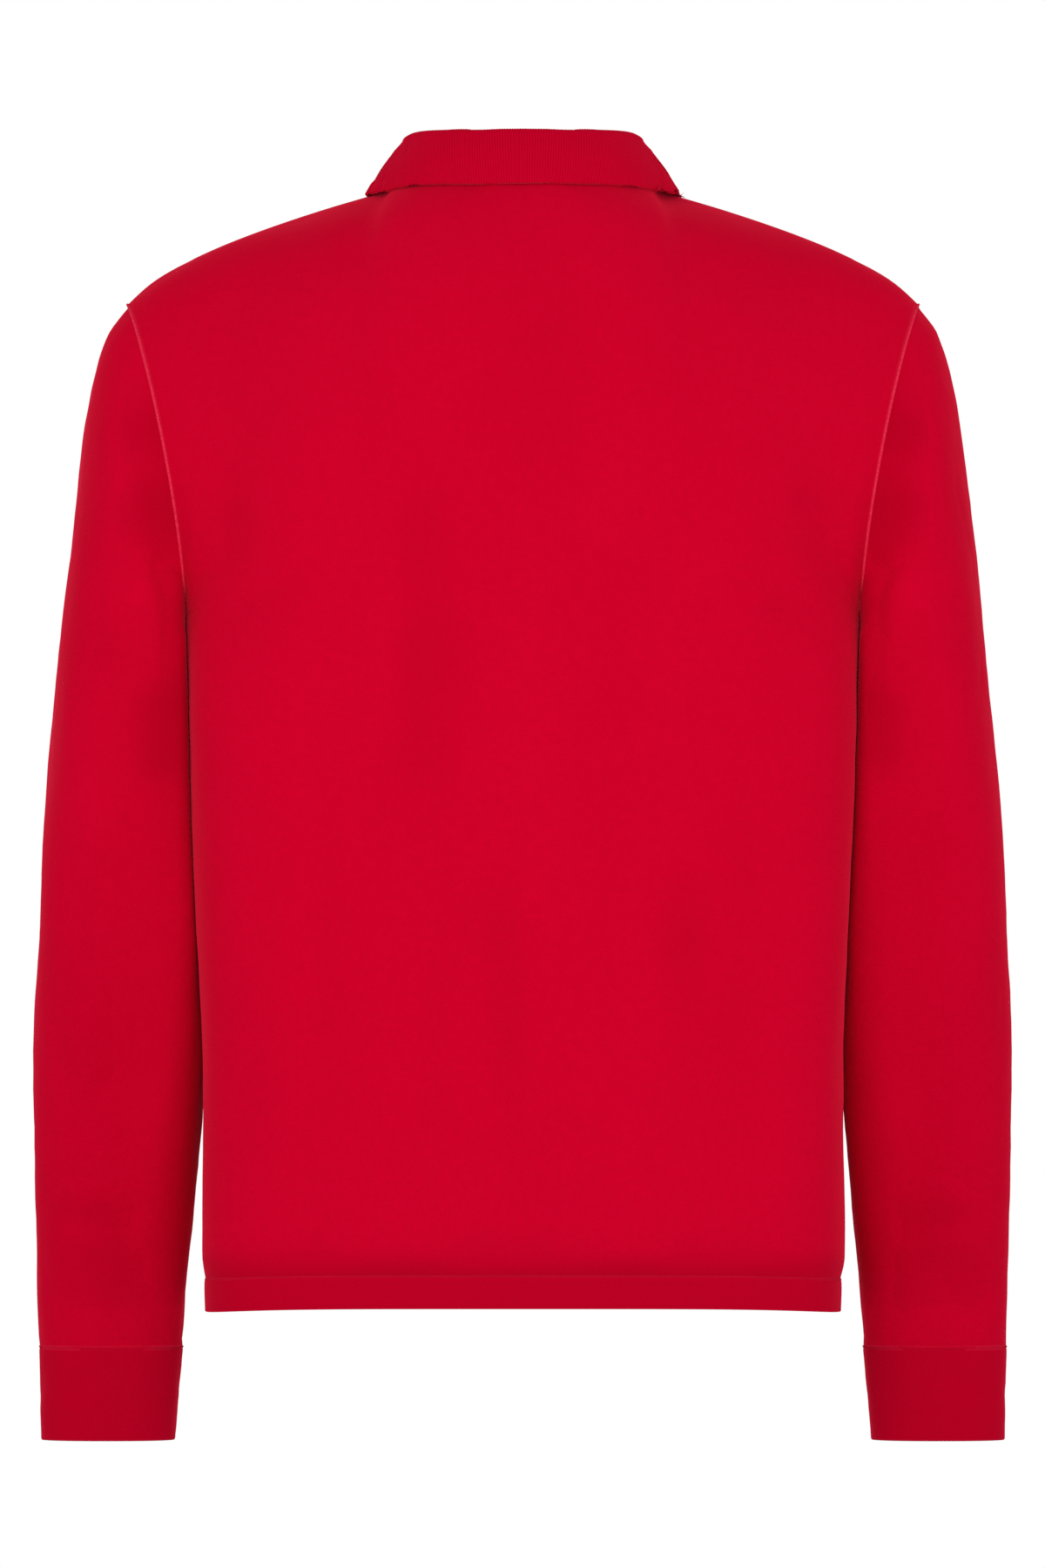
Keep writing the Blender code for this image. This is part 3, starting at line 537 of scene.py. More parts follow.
def leanOn(shell, neighbours, outward, look):
    # draws a sleeve's wall up to the body where the two only just miss each other
    tree = treeOf(*neighbours)
    points = coordinates(shell.data)
    outer = outerPoints(shell, outward)[0]
    moves = np.zeros((len(outer), 3))
    finder = KDTree(len(outer))
    for i, index in enumerate(outer):
        point = Vector(points[index])
        finder.insert(point, i)
        near, normal, face, away = tree.find_nearest(point, look["leanReach"])
        if near is not None and away > look["leanGap"]:
            share = 1 - (away / look["leanReach"]) ** 2
            share *= min(max((point.z - look["leanLow"]) / look["leanFade"], 0), 1)
            moves[i] = np.array(near - point) * (1 - look["leanGap"] / away) * share
    finder.balance()
    nearest = [finder.find(point)[1] for point in points]
    setCoordinates(shell.data, points + moves[nearest])


seamLook = {
    "closeReach": 0.0012, "collarReach": 0.0010,   # how wide a gap is closed
    "gap": 0.00005,                                # what is left of it
    "armhole": 0.00090, "cuff": 0.00050,           # radius of the roll of cloth along each seam
    "rollReach": 0.0015,
    "underarm": -0.2545,                           # the armhole's lowest point
    "apart": 0.0012,                               # the roll's points are no closer than this
    "roundness": 1,
}


def closeSeam(shell, neighbours, reach=seamLook["closeReach"]):
    # brings a rim up to the piece that it is sewn to
    gap = seamLook["gap"]
    tree = treeOf(*neighbours)
    points = coordinates(shell.data)
    for i, point in enumerate(points):
        near, normal, index, away = tree.find_nearest(Vector(point), reach)
        if near is not None and away > gap:
            points[i] += np.array(near - Vector(point)) * (1 - gap / away)
    setCoordinates(shell.data, points)


def borderPoints(shell, outward):
    # where the outer side of a wall ends
    mesh = bmesh.new()
    mesh.from_mesh(shell.data)
    pair = sides(mesh)[:2]
    outer = set(max(pair, key=lambda group: max(outward(face.calc_center_median()) for face in group)))
    edges = [edge for edge in mesh.edges if len(outer.intersection(edge.link_faces)) == 1]
    points = [vert.co.copy() for vert in {vert for edge in edges for vert in edge.verts}]
    mesh.free()
    return points


def sewOn(piece, material):
    piece.data.materials.clear()
    piece.data.materials.append(material)
    piece.data.shade_smooth()
    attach(piece, "root")


def ringOf(points, joined, axes):
    # the points that lie by the joined piece, in order round their middle
    tree = treeOf(joined)
    reach, apart = seamLook["rollReach"], seamLook["apart"]
    ring = [point for point in points if tree.find_nearest(point, reach)[0] is not None]
    first, second = ((min(p[i] for p in ring) + max(p[i] for p in ring)) / 2 for i in axes)
    ring.sort(key=lambda p: (math.atan2(p[axes[1]] - second, p[axes[0]] - first), *p))
    return [p for p, before in zip(ring, ring[-1:] + ring) if (p - before).length > apart]


def rolledSeam(name, points, joined, axes, radius, material):
    # a fine roll of cloth along a seam
    ring = ringOf(points, joined, axes)
    curve = bpy.data.curves.new(name, "CURVE")
    curve.dimensions = "3D"
    curve.bevel_depth = radius
    curve.bevel_resolution = seamLook["roundness"]
    spline = curve.splines.new("POLY")
    spline.points.add(len(ring) - 1)
    spline.use_cyclic_u = True
    for spot, point in zip(spline.points, ring):
        spot.co = (*point, 1)
    guide = addObject(name + "_guide", curve)
    piece = addObject(name, bpy.data.meshes.new_from_object(evaluated(guide)))
    bpy.data.objects.remove(guide)
    sewOn(piece, material)
    print(f"{name}: {len(ring)} points")


def roundEdges(shell, width):
    edging = shell.modifiers.new("rolled edges", "BEVEL")
    edging.limit_method = "ANGLE"
    edging.angle_limit = math.radians(shellLook["rimAngle"])
    edging.width = width
    edging.segments = shellLook["edgeSteps"]
    edging.use_clamp_overlap = False


def finishCloth(shell, node, material):
    shell.data.materials.clear()
    shell.data.materials.append(material)
    shell.data.shade_smooth()
    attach(shell, "root")
    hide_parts(node)
    surface = sum(face.area for face in evaluated(shell).data.polygons) / 2
    print(f"{shell.name}: {len(evaluated(shell).data.polygons)} faces, {surface:.3f} m2 of cloth")


panelLook = {
    "levels": 2,
    "edge": 0.0004,
    "doubleShade": (-0.619, -0.635, 1.0),      # where the painted shade on the hem's second layer begins, and where it is whole
    "edgeStart": 0.0, "hemStart": 0.0016,
    "waves": ((0.060, 0.320, 0.0022), (0.035, 0.120, 0.0010), (0.022, 0.022, 0.0004)),
    "deepest": 0.0035, "proudest": 0.0025,
}
backLook = {
    **panelLook,
    "cut": (0.540, 0.700), "area": 0.335,
    "foldShading": 0.75,                      # how strongly folds get painted shade in their troughs and painted highlight on their ridges
    # each crease: where it starts, bends and ends (across, up), its width and its depth
    "creases": (
        ((0.113, -0.280), (0.112, -0.420), (0.116, -0.560), 0.008, 0.0012),
        ((0.052, -0.140), (0.060, -0.250), (0.050, -0.380), 0.022, 0.0030),
        ((0.084, -0.160), (0.086, -0.260), (0.080, -0.360), 0.012, -0.0014),
        ((0.008, -0.340), (0.014, -0.470), (0.006, -0.600), 0.013, 0.0026),
        ((-0.094, -0.380), (-0.088, -0.440), (-0.092, -0.510), 0.014, 0.0022),
        ((-0.060, -0.180), (-0.068, -0.330), (-0.058, -0.480), 0.020, 0.0016),
        ((-0.125, -0.300), (-0.128, -0.440), (-0.121, -0.600), 0.012, 0.0014),
        ((0.145, -0.330), (0.150, -0.450), (0.146, -0.600), 0.014, 0.0012),
        ((0.200, -0.262), (0.160, -0.250), (0.120, -0.215), 0.012, 0.0018),
        ((-0.200, -0.262), (-0.158, -0.254), (-0.124, -0.222), 0.012, 0.0016),
        ((0.186, -0.150), (0.182, -0.190), (0.190, -0.235), 0.012, 0.0018),
        ((-0.186, -0.150), (-0.182, -0.190), (-0.190, -0.235), 0.012, 0.0018),
        ((0.060, -0.624), (0.000, -0.620), (-0.060, -0.626), 0.009, 0.0016),
        ((-0.080, -0.626), (-0.120, -0.622), (-0.165, -0.627), 0.008, 0.0014),
        ((0.165, -0.628), (0.125, -0.626), (0.085, -0.628), 0.007, 0.0010),
    ),
}
frontLook = {
    **panelLook,
    "cut": (0.540, 0.660), "area": 0.320,
    "foldShading": 0.5,
    "creases": (
        ((0.092, -0.240), (0.084, -0.400), (0.094, -0.580), 0.020, 0.0018),
        ((-0.085, -0.250), (-0.094, -0.400), (-0.088, -0.600), 0.022, 0.0018),
        ((0.012, -0.300), (0.004, -0.450), (0.010, -0.610), 0.018, 0.0014),
        ((0.140, -0.300), (0.146, -0.450), (0.138, -0.590), 0.013, 0.0010),
        ((-0.140, -0.320), (-0.134, -0.460), (-0.142, -0.600), 0.014, 0.0010),
        ((0.200, -0.268), (0.150, -0.240), (0.105, -0.190), 0.014, 0.0020),
        ((-0.200, -0.268), (-0.152, -0.244), (-0.108, -0.196), 0.014, 0.0018),
        ((0.185, -0.300), (0.150, -0.290), (0.118, -0.258), 0.012, 0.0012),
        ((-0.185, -0.300), (-0.152, -0.294), (-0.120, -0.266), 0.012, 0.0012),
        ((0.070, -0.626), (0.010, -0.620), (-0.050, -0.627), 0.010, 0.0012),
        ((0.160, -0.627), (0.125, -0.624), (0.088, -0.628), 0.009, 0.0010),
        ((-0.075, -0.627), (-0.115, -0.623), (-0.165, -0.628), 0.009, 0.0010),
    ),
}
sleeveLook = {
    "levels": 3,
    "edge": 0.0004,
    "shoulder": (0.2347, 0.0020, -0.0655),
    "underarm": (0.2002, 0.0020, -0.2540),
    "cut": (0.480, 0.640), "area": 0.205,
    "edgeStart": 0.0008,
    # across is measured from the sleeve's outermost line, towards the back
    "creases": (
        ((0.058, -0.095), (0.072, -0.150), (0.098, -0.235), 0.016, 0.0054),
        ((0.112, -0.228), (0.090, -0.232), (0.062, -0.236), 0.016, -0.0020),
        ((0.112, -0.250), (0.106, -0.300), (0.122, -0.365), 0.015, 0.0040),
        ((0.116, -0.300), (0.094, -0.316), (0.062, -0.318), 0.018, 0.0004),
        ((0.060, -0.270), (0.058, -0.360), (0.060, -0.470), 0.030, -0.0016),
        ((0.132, -0.470), (0.130, -0.560), (0.124, -0.664), 0.020, -0.0024),
        ((0.096, -0.570), (0.092, -0.615), (0.090, -0.664), 0.034, 0.0026),
        ((-0.130, -0.240), (-0.100, -0.200), (-0.070, -0.168), 0.014, 0.0026),
        ((-0.135, -0.300), (-0.105, -0.268), (-0.070, -0.250), 0.015, 0.0026),
        ((-0.130, -0.372), (-0.095, -0.350), (-0.060, -0.345), 0.015, 0.0024),
        ((-0.125, -0.420), (-0.090, -0.412), (-0.054, -0.418), 0.014, 0.0024),
        ((-0.120, -0.470), (-0.086, -0.472), (-0.054, -0.462), 0.016, 0.0018),
        ((-0.105, -0.560), (-0.080, -0.572), (-0.050, -0.560), 0.018, 0.0015),
    ),
    "waves": ((0.040, 0.110, 0.0018), (0.022, 0.050, 0.0007), (0.012, 0.012, 0.0003)),
    "deepest": 0.0050, "proudest": 0.0030,
    "rimFade": 0.008,
    "leanReach": 0.0170, "leanGap": 0.00015,
    "leanLow": -0.510, "leanFade": 0.070,  # it hangs free below
}
cuffLook = {
    "levels": 3,
    "edge": 0.0008,
    "cut": (0.250, 0.056), "area": 0.0135,
    # painted shade over the doubled cuff
    "doubleShade": (-0.500, -0.600, 0.82),
    "edgeStart": 0.0014,
    "creases": (
        ((0.060, -0.690), (0.045, -0.700), (0.034, -0.722), 0.006, 0.0007),
        ((0.020, -0.694), (0.012, -0.708), (-0.004, -0.720), 0.006, 0.0006),
        ((-0.030, -0.692), (-0.036, -0.706), (-0.050, -0.718), 0.006, 0.0007),
        ((-0.080, -0.696), (-0.086, -0.708), (-0.096, -0.724), 0.006, 0.0006),
        ((0.100, -0.694), (0.094, -0.708), (0.084, -0.722), 0.006, 0.0006),
    ),
    "waves": ((0.014, 0.014, 0.0005), (0.007, 0.007, 0.0002)),
    "deepest": 0.0012, "proudest": 0.0006,
}


def backwards(place):
    return place.y


def forwards(place):
    return -place.y


def panelPiece(name, node, look, outward):
    cage = triangleCopy(node)
    joinPairs(cage, cage.faces)
    shell = smoothShell(name, cage, look["levels"])
    crease(shell, look, panelCloth(coordinates(shell.data)), outward)
    return shell


def tubePiece(name, node, look, side):
    cage = triangleCopy(node)
    joinPairs(cage, cage.faces)
    corners = [Vector(look[key]) for key in ("shoulder", "underarm") if key in look]
    for corner in corners:
        corner.x *= side
    shell = smoothShell(name, cage, look["levels"], corners)
    crease(shell, look, tubeCloth(coordinates(shell.data), side), lambda place: place.x * side)
    return shell


back = panelPiece("back_panel", "back", backLook, backwards)
front = panelPiece("front_panel", "front", frontLook, forwards)
print("panels draped")
sleeves, cuffs = [], []
for word, side in (("left", 1), ("right", -1)):
    sleeves.append(tubePiece(f"sleeve_{word}_cloth", f"sleeve_{word}", sleeveLook, side))
    cuffs.append(tubePiece(f"cuff_{word}_cloth", f"cuff_{word}", cuffLook, side))
print("sleeves and cuffs draped")


collarLook = {
    "levels": 2,
    "ribWidth": 0.00154,
    "ribHeight": 0.00013,
    "pointsToRib": 4,
    "edge": 0.0006,
    "fadeReach": 0.0030,
    "guideReach": 0.002,
    "cornerAngle": 135.0,  # a border point with a narrower angle is a corner of the sheet
    "rowHeight": 0.0070,
    "settle": (1.0, 0.55, 0.15),          # how far each row of the fall sinks to the body, edge first
    "settleGap": 0.0009,
    "settleFrom": -0.045, "settleTo": -0.015,
    "cut": (0.500, 0.080), "area": 0.036,
}


def spreadFrom(start, allowed):
    # how many steps each point lies from the start, along edges between allowed points
    found = {vert: 0 for vert in start}
    ring = list(start)
    while ring:
        following = []
        for vert in ring:
            for edge in vert.link_edges:
                other = edge.other_vert(vert)
                if other in allowed and other not in found:
                    found[other] = found[vert] + 1
                    following.append(other)
        ring = following
    return found


def cornersOf(group, border):
    inside = {}
    for face in group:
        for loop in face.loops:
            inside[loop.vert] = inside.get(loop.vert, 0) + loop.calc_angle()
    return [vert for vert in border if inside[vert] < math.radians(collarLook["cornerAngle"])]


def borderSides(group):
    # the four sides of a sheet's border, each a list of points, the longest two first
    faces = set(group)
    edges = [e for face in group for e in face.edges if len(faces.intersection(e.link_faces)) == 1]
    border = {vert for edge in edges for vert in edge.verts}
    corners = set(cornersOf(group, border))
    found, used = [], set()
    for corner in corners:
        for edge in edges:
            if corner not in edge.verts or edge in used:
                continue
            line, vert = [corner], corner
            while True:
                used.add(edge)
                vert = edge.other_vert(vert)
                line.append(vert)
                if vert in corners:
                    break
                edge = next(e for e in edges if vert in e.verts and e not in used)
            found.append(line)
    return sorted(found, key=lambda line: -len(line))


def gridPlaces(group):
    # each point's row, from the neckline, and column, from the wearer's right
    verts = {vert for face in group for vert in face.verts}
    lines = borderSides(group)
    lower = min(lines[:2], key=lambda line: sum(vert.co.xy.length for vert in line) / len(line))
    right = min(lines[2:], key=lambda line: sum(vert.co.x for vert in line))
    return spreadFrom(lower, verts), spreadFrom(right, verts)


def dissolveSlants(cage):
    # takes the diagonals out of the collar, and gives every point's row and column
    places = {}
    for group in sides(cage)[:2]:
        rows, columns = gridPlaces(group)
        places.update({vert: (rows[vert], columns[vert]) for vert in rows})
        faces = set(group)
        slanted = []
        for edge in cage.edges:
            if not faces.issuperset(edge.link_faces):
                continue
            (row, column), (otherRow, otherColumn) = (places[vert] for vert in edge.verts)
            if row != otherRow and column != otherColumn:
                slanted.append(edge)
        bmesh.ops.dissolve_edges(cage, edges=slanted, use_verts=False)
    joinPairs(cage, [face for face in cage.faces if len(face.verts) == 3])
    return places


def settleFall(places, body, look):
    # lets the fall's edge down onto the shoulders and the back
    columns = {}
    for vert, (row, column) in places.items():
        columns.setdefault(column, []).append((row, vert))
    for points in columns.values():
        last = max(row for row, vert in points)
        edge = [vert for row, vert in points if row == last]
        under = min(edge, key=lambda vert: body.find_nearest(vert.co)[3])
        near, normal, index, away = body.find_nearest(under.co)
        share = (under.co.y - look["settleFrom"]) / (look["settleTo"] - look["settleFrom"])
        drop = (near - under.co) * (max(away - look["settleGap"], 0) / away * min(max(share, 0), 1))
        for row, vert in points:
            if last - row < len(look["settle"]):
                vert.co += drop * look["settle"][last - row]


def ribCounts(places, width):
    # how many ribs fit between each column and the next
    lengths = {}
    for vert, (row, column) in places.items():
        for edge in vert.link_edges:
            if places[edge.other_vert(vert)] == (row, column + 1):
                lengths.setdefault(column, []).append(edge.calc_length())
    return [round(sum(lengths[c]) / len(lengths[c]) / width) for c in sorted(lengths)]


def ribbedCollar(name, node, look):
    cage = triangleCopy(node)
    ribPlace = cage.verts.layers.float.new("ribPlace")  # counted in ribs from the right-hand end
    upPlace = cage.verts.layers.float.new("upPlace")
    places = dissolveSlants(cage)
    print("collar cage:", len(cage.faces), "faces,", sum(len(f.verts) != 4 for f in cage.faces), "odd")
    settleFall(places, treeOf(back, front), look)
    smooth = smoothShell(name + "_guide", cage.copy(), look["levels"])
    guide = treeOf(smooth)
    bpy.data.objects.remove(smooth)

    counts = ribCounts(places, look["ribWidth"])
    ribsBefore = [sum(counts[:column]) for column in range(len(counts) + 1)]
    for vert, (row, column) in places.items():
        vert[ribPlace] = ribsBefore[column]
        vert[upPlace] = row * look["rowHeight"]
    upright = [e for e in cage.edges if e.verts[0][ribPlace] == e.verts[1][ribPlace]
               and e.verts[0][upPlace] != e.verts[1][upPlace]]
    bmesh.ops.subdivide_edges(cage, edges=upright, cuts=1)
    gaps = {}
    for edge in cage.edges:
        low, high = sorted(vert[ribPlace] for vert in edge.verts)
        if low != high:
            gaps.setdefault(ribsBefore.index(round(low)), []).append(edge)
    for column, edges in gaps.items():
        bmesh.ops.subdivide_edges(cage, edges=edges, cuts=counts[column] * look["pointsToRib"] - 1)
    for vert in cage.verts:
        near = guide.find_nearest(vert.co, look["guideReach"])[0]
        if near is not None:
            vert.co = near
    cage.normal_update()

    ends = {0, ribsBefore[-1]}
    topRow = max(vert[upPlace] for vert in cage.verts)
    rim = [v for v in cage.verts if round(v[ribPlace], 3) in ends or not 0 < v[upPlace] < topRow]
    away = distances(cage, rim)
    raised = []
    for vert, distance in zip(cage.verts, away):
        fade = min(distance / look["fadeReach"], 1)
        height = look["ribHeight"] * math.cos(math.tau * vert[ribPlace]) * fade
        raised.append((vert, vert.normal * height))
    for vert, rise in raised:
        vert.co += rise
    cloth = np.array([(vert[ribPlace] * look["ribWidth"], vert[upPlace]) for vert in cage.verts])
    print("collar ribs:", ribsBefore[-1])
    shell = addPiece(name, cage)
    writeMap(shell.data, "cloth", cloth)
    # distance from the rim, for the painted edge highlight; the collar gets no painted double-layer shade
    writeMap(shell.data, "painted_light", np.stack([away, np.zeros(len(away))], axis=1))
    return shell


collar = ribbedCollar("rib_collar", "collar", collarLook)


placketLook = {
    "levels": 2, "edge": 0.0005,
    "cut": (0.036, 0.190), "area": 0.0066,
    "creases": (), "waves": ((0.020, 0.020, 0.00015),),
    "edgeStart": 0.0008,
}
strips = []
for word in ("under", "top"):
    strips.append(panelPiece(f"placket_{word}_strip", f"placket_{word}", placketLook, forwards))
print("collar and placket made")

closeSeam(back, [front])
for sleeve, cuff, side in zip(sleeves, cuffs, (1, -1)):
    closeSeam(sleeve, [back, front])
    leanOn(sleeve, [back, front], lambda place: place.x * side, sleeveLook)
    closeSeam(cuff, [sleeve])
closeSeam(collar, [back, front], seamLook["collarReach"])
for shell, look in (
    (back, backLook), (front, frontLook), (collar, collarLook),
    *((sleeve, sleeveLook) for sleeve in sleeves), *((cuff, cuffLook) for cuff in cuffs),
    *((strip, placketLook) for strip in strips),
):
    roundEdges(shell, look["edge"])


for sleeve, cuff, word, side in zip(sleeves, cuffs, ("left", "right"), (1, -1)):
    armhole = [point for point in borderPoints(back, backwards) + borderPoints(front, forwards)
               if point.x * side > 0 and point.z > seamLook["underarm"]]
    rolledSeam(f"armhole_{word}_seam", armhole, sleeve, (1, 2), seamLook["armhole"], armholeHighlightRoll)
    cuffTop = borderPoints(cuff, lambda place: place.x * side)
    rolledSeam(f"cuff_{word}_seam", cuffTop, sleeve, (0, 1), seamLook["cuff"], cuffRoll)
print("seams rolled")

finishCloth(back, "back", jersey)
finishCloth(front, "front", jersey)
for sleeve, cuff, word in zip(sleeves, cuffs, ("left", "right")):
    finishCloth(sleeve, f"sleeve_{word}", jersey)
    finishCloth(cuff, f"cuff_{word}", jersey)
finishCloth(collar, "collar", rib)
finishCloth(strips[0], "placket_under", jersey)
finishCloth(strips[1], "placket_top", jersey)
print("seams closed and cloth finished")


stitchLook = {
    "pitch": 0.0031,
    "size": (0.0025, 0.00040, 0.00020),   # length, width and height of a stitch
    "sink": 0.25,                         # how much of its height lies in the cloth
    "hemHeight": -0.6414,
    "rays": 900, "rayStart": 0.5, "ahead": -0.3,
    "placketInset": 0.0022, "placketPitch": 0.85, "boxHeight": 0.012,
    "sideSteps": 40, "endSteps": 12,
}


def addStitch(mesh, point, along, normal, size):
    side = normal.cross(along).normalized()
    forward = side.cross(normal)
    turn = Matrix((forward, side, normal)).transposed().to_4x4()
    middle = Matrix.Translation(point + normal * size[2] * (0.5 - stitchLook["sink"]))
    shape = Matrix.Diagonal((size[0] / 2, size[1] / 2, size[2] / 2, 1))
    bmesh.ops.create_icosphere(mesh, subdivisions=1, radius=1, matrix=middle @ turn @ shape)


def evenPlaces(line, pitch):
    # (point, normal, direction) at even steps along a line of (point, normal)
    found, walked = [], pitch / 2
    for (a, normalA), (b, normalB) in zip(line, line[1:]):
        length = (b - a).length
        while walked < length:
            share = walked / length
            normal = normalA.lerp(normalB, share).normalized()
            found.append((a.lerp(b, share), normal, (b - a).normalized()))
            walked += pitch
        walked -= length
    return found


def sewn(name, lines, pitch, size):
    mesh = bmesh.new()
    for line in lines:
        for point, normal, along in evenPlaces(line, pitch):
            addStitch(mesh, point, along, normal, size)
    sewOn(addPiece(name, mesh), thread)


def levelLine(tree, height, rays):
    # the outline of the body at a height, found from outside
    line = []
    for i in range(rays + 1):
        angle = math.tau * i / rays
        outward = Vector((math.cos(angle), math.sin(angle), 0))
        hit = tree.ray_cast(Vector((0, 0, height)) + outward * stitchLook["rayStart"], -outward)
        if hit[0] is not None:
            line.append((hit[0], hit[1]))
    return line


def frontLine(tree, places):
    # a line on the front under (x, z) places, found from ahead
    line = []
    for x, z in places:
        hit = tree.ray_cast(Vector((x, stitchLook["ahead"], z)), Vector((0, 1, 0)))
        if hit[0] is not None:
            line.append((hit[0], hit[1]))
    return line


bodyTree = treeOf(back, front)
sewn("hem_stitches", [levelLine(bodyTree, stitchLook["hemHeight"], stitchLook["rays"])],
     stitchLook["pitch"], stitchLook["size"])

stripTree = treeOf(strips[1])
stripLow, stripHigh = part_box("placket_top")
inset = stitchLook["placketInset"]
lowZ, highZ = stripLow[2] + inset, stripHigh[2] - inset
leftX, rightX = stripHigh[0] - inset, stripLow[0] + inset
sideSteps = np.linspace(lowZ, highZ, stitchLook["sideSteps"] + 1)
endSteps = np.linspace(rightX, leftX, stitchLook["endSteps"] + 1)
sewn("placket_stitches", [
    frontLine(stripTree, [(leftX, z) for z in sideSteps]),
    frontLine(stripTree, [(rightX, z) for z in sideSteps]),
    frontLine(stripTree, [(x, lowZ) for x in endSteps]),
    frontLine(stripTree, [(x, lowZ + stitchLook["boxHeight"]) for x in endSteps]),
], stitchLook["pitch"] * stitchLook["placketPitch"], stitchLook["size"])


buttonLook = {
    "radius": 0.0057, "height": 0.0025, "rim": 0.0013, "dish": 0.0008, "steps": 48,
    "holeReach": 0.0016, "holeRadius": 0.00062, "holes": 4, "holeSides": 16,
    "lift": 0.0004,
    "smoothAngle": 40.0,
    "strands": 3, "strand": (0.0036, 0.00034, 0.0005), "strandLap": 0.8,
    "buttonhole": 0.0136, "satin": (0.0011, 0.00032, 0.0003), "satinPitch": 0.00045,
    "satinSpread": 0.55,   # how far each row of stitches lies from the slit
    "bars": 3, "barLap": 0.7, "barWidth": 2.3, "barLift": 0.0001,
}


def buttonDisc(name, look):
    # a turned disc with a rim round its dish, and four holes
    radius, height, rim, dish = (look[key] for key in ("radius", "height", "rim", "dish"))
    mesh = bmesh.new()
    profile = (
        (0.0, height - dish), (radius - rim * 1.25, height - dish),
        (radius - rim * 0.95, height - dish * 0.25), (radius - rim * 0.6, height),
        (radius - rim * 0.25, height), (radius, height - dish * 0.6),
        (radius * 0.96, height * 0.3), (radius * 0.8, 0.0), (0.0, 0.0),
    )
    verts = [mesh.verts.new((x, 0, z)) for x, z in profile]
    edges = [mesh.edges.new(pair) for pair in zip(verts, verts[1:])]
    bmesh.ops.spin(mesh, geom=verts + edges, axis=(0, 0, 1), cent=(0, 0, 0),
                   angle=math.tau, steps=look["steps"], use_merge=True)
    bmesh.ops.remove_doubles(mesh, verts=mesh.verts, dist=0.000001)
    bmesh.ops.recalc_face_normals(mesh, faces=mesh.faces)
    disc = addPiece(name, mesh)
    drills = bmesh.new()
    for i in range(look["holes"]):
        angle = math.tau * (i + 0.5) / look["holes"]
        reach = look["holeReach"]
        spot = Matrix.Translation((reach * math.cos(angle), reach * math.sin(angle), height / 2))
        bmesh.ops.create_cone(drills, cap_ends=True, segments=look["holeSides"], radius1=look["holeRadius"],
                              radius2=look["holeRadius"], depth=height * 2, matrix=spot)
    drill = addPiece(name + "_drill", drills)
    cut = disc.modifiers.new("holes", "BOOLEAN")
    cut.object, cut.operation = drill, "DIFFERENCE"
    finished = bpy.data.meshes.new_from_object(evaluated(disc))
    disc.modifiers.clear()
    disc.data = finished
    bpy.data.objects.remove(drill)
    return disc


def sewButton(number, look):
    low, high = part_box(f"button_{number}")
    middle = (Vector(low) + Vector(high)) / 2
    ahead = Vector((middle.x, stitchLook["ahead"], middle.z))
    spot, normal = stripTree.ray_cast(ahead, Vector((0, 1, 0)))[:2]
    lean = Vector((0, normal.y, normal.z)).normalized()
    upright = Vector((1, 0, 0)).cross(lean) * -1
    if upright.z < 0:
        upright.negate()
    seat = Matrix((upright.cross(lean), upright, lean)).transposed().to_4x4()
    seat = Matrix.Translation(spot + lean * look["lift"]) @ seat
    disc = buttonDisc(f"button_{number}_disc", look)
    disc.data.transform(seat)
    disc.data.materials.append(plastic)
    disc.data.shade_smooth()
    disc.data.set_sharp_from_angle(angle=math.radians(look["smoothAngle"]))
    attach(disc, "root")
    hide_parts(f"button_{number}")

    strands = bmesh.new()
    reach = look["holeReach"] * math.sqrt(0.5)
    for side in (-1, 1):
        for i in range(look["strands"]):
            step = look["strand"][1] * look["strandLap"]
            x = side * reach + (i - (look["strands"] - 1) / 2) * step
            spotHeight = look["height"] - look["dish"]
            addStitch(strands, Vector((x, 0, spotHeight)), Vector((0, 1, 0)), Vector((0, 0, 1)),
                      look["strand"])
    strands.transform(seat)
    sewOn(addPiece(f"button_{number}_thread", strands), thread)

    hole = bmesh.new()
    half = look["buttonhole"] / 2
    count = round(look["buttonhole"] / look["satinPitch"])
    base = Matrix.Translation(spot) @ seat.to_3x3().to_4x4()
    for side in (-1, 1):
        for i in range(count + 1):
            across = side * look["satin"][0] * look["satinSpread"]
            place = Vector((across, -half + 2 * half * i / count, 0))
            addStitch(hole, place, Vector((1, 0, 0)), Vector((0, 0, 1)), look["satin"])
    for end in (-1, 1):
        for i in range(look["bars"]):
            place = Vector((0, end * (half + i * look["satinPitch"] * look["barLap"]), look["barLift"]))
            bar = (look["satin"][0] * look["barWidth"], *look["satin"][1:])
            addStitch(hole, place, Vector((1, 0, 0)), Vector((0, 0, 1)), bar)
    hole.transform(base)
    sewOn(addPiece(f"buttonhole_{number}", hole), thread)


for number in (1, 2, 3):
    sewButton(number, buttonLook)
print("stitches and buttons made")


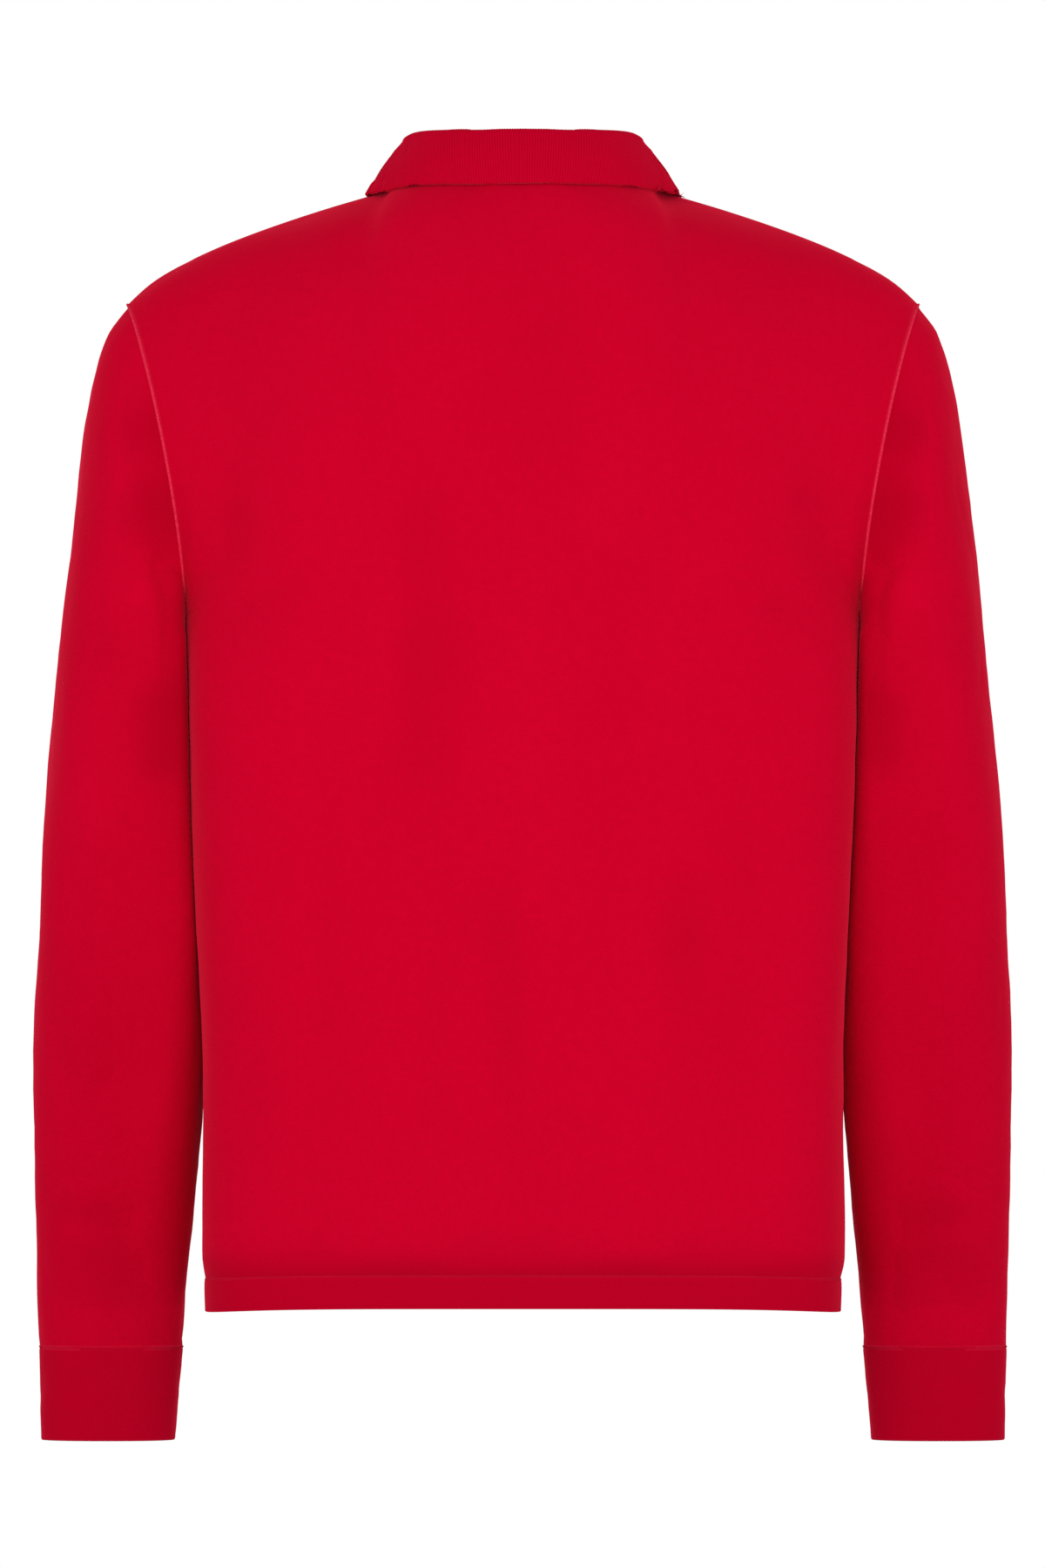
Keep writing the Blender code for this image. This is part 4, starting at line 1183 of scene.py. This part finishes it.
studioLook = {
    "cameraPlace": (0.0003, 10.0, -0.349), "lens": 388.0, "sensor": 36.0,
    "floorHeight": -0.862, "floorSize": (4.0, 2.9), "floorMiddle": 0.55, "floorGrey": 0.70,
    "skyLight": 0.68,      # what the white room gives; the camera sees it as plain white
    # each lamp: where it stands, where it points, its size and its power
    "lamps": (
        ((0.03, 1.15, -0.26), (0.0, 0.0, -0.26), 0.9, 5.5),
        ((2.6, 0.9, -0.25), (0.0, 0.0, -0.30), 2.0, 9.5),
        ((-2.6, 0.9, -0.25), (0.0, 0.0, -0.30), 2.0, 11.2),
        ((0.2, -1.70, -0.15), (0.0, 0.0, -0.26), 0.9, 6.6),
    ),
}


def studio(look):
    camera = bpy.data.cameras.new("camera")
    camera.lens, camera.sensor_width = look["lens"], look["sensor"]
    camera.clip_end = 40.0
    stand = addObject("camera", camera)
    stand.location = look["cameraPlace"]
    stand.rotation_euler = (math.pi / 2, 0, math.pi)
    bpy.context.scene.camera = stand

    for i, (place, aim, size, power) in enumerate(look["lamps"]):
        lamp = bpy.data.lights.new(f"softbox_{i + 1}", "AREA")
        lamp.shape, lamp.size, lamp.energy = "SQUARE", size, power
        box = addObject(f"softbox_{i + 1}", lamp)
        box.location = place
        box.rotation_euler = (Vector(aim) - Vector(place)).to_track_quat("-Z", "Y").to_euler()
        box.visible_camera = False

    world = bpy.data.worlds.new("white room")
    world.use_nodes = True
    tree = world.node_tree
    tree.nodes.clear()
    light = addNode(tree, "Background", {}, {"Color": (1, 1, 1, 1), "Strength": look["skyLight"]})
    seen = addNode(tree, "Background", {}, {"Color": (1, 1, 1, 1), "Strength": 1.0})
    straight = addNode(tree, "LightPath")
    mixed = addNode(tree, "MixShader", {}, {0: straight, 1: light, 2: seen})
    end = tree.nodes.new("ShaderNodeOutputWorld")
    tree.links.new(mixed.socket, end.inputs["Surface"])
    bpy.context.scene.world = world
    bpy.context.scene.view_settings.view_transform = "Standard"

    plane = bmesh.new()
    bmesh.ops.create_grid(plane, x_segments=1, y_segments=1, size=0.5)
    width, depth = look["floorSize"]
    place = Matrix.Translation((0, look["floorMiddle"], look["floorHeight"]))
    bmesh.ops.transform(plane, verts=plane.verts, matrix=place @ Matrix.Diagonal((width, depth, 1, 1)))
    floor = addPiece("floor", plane)
    grey = look["floorGrey"]
    paper = Finish("paper", {"Base Color": (grey, grey, grey, 1), "Roughness": 0.9})
    floor.data.materials.append(paper.material)


studio(studioLook)
print("studio set")
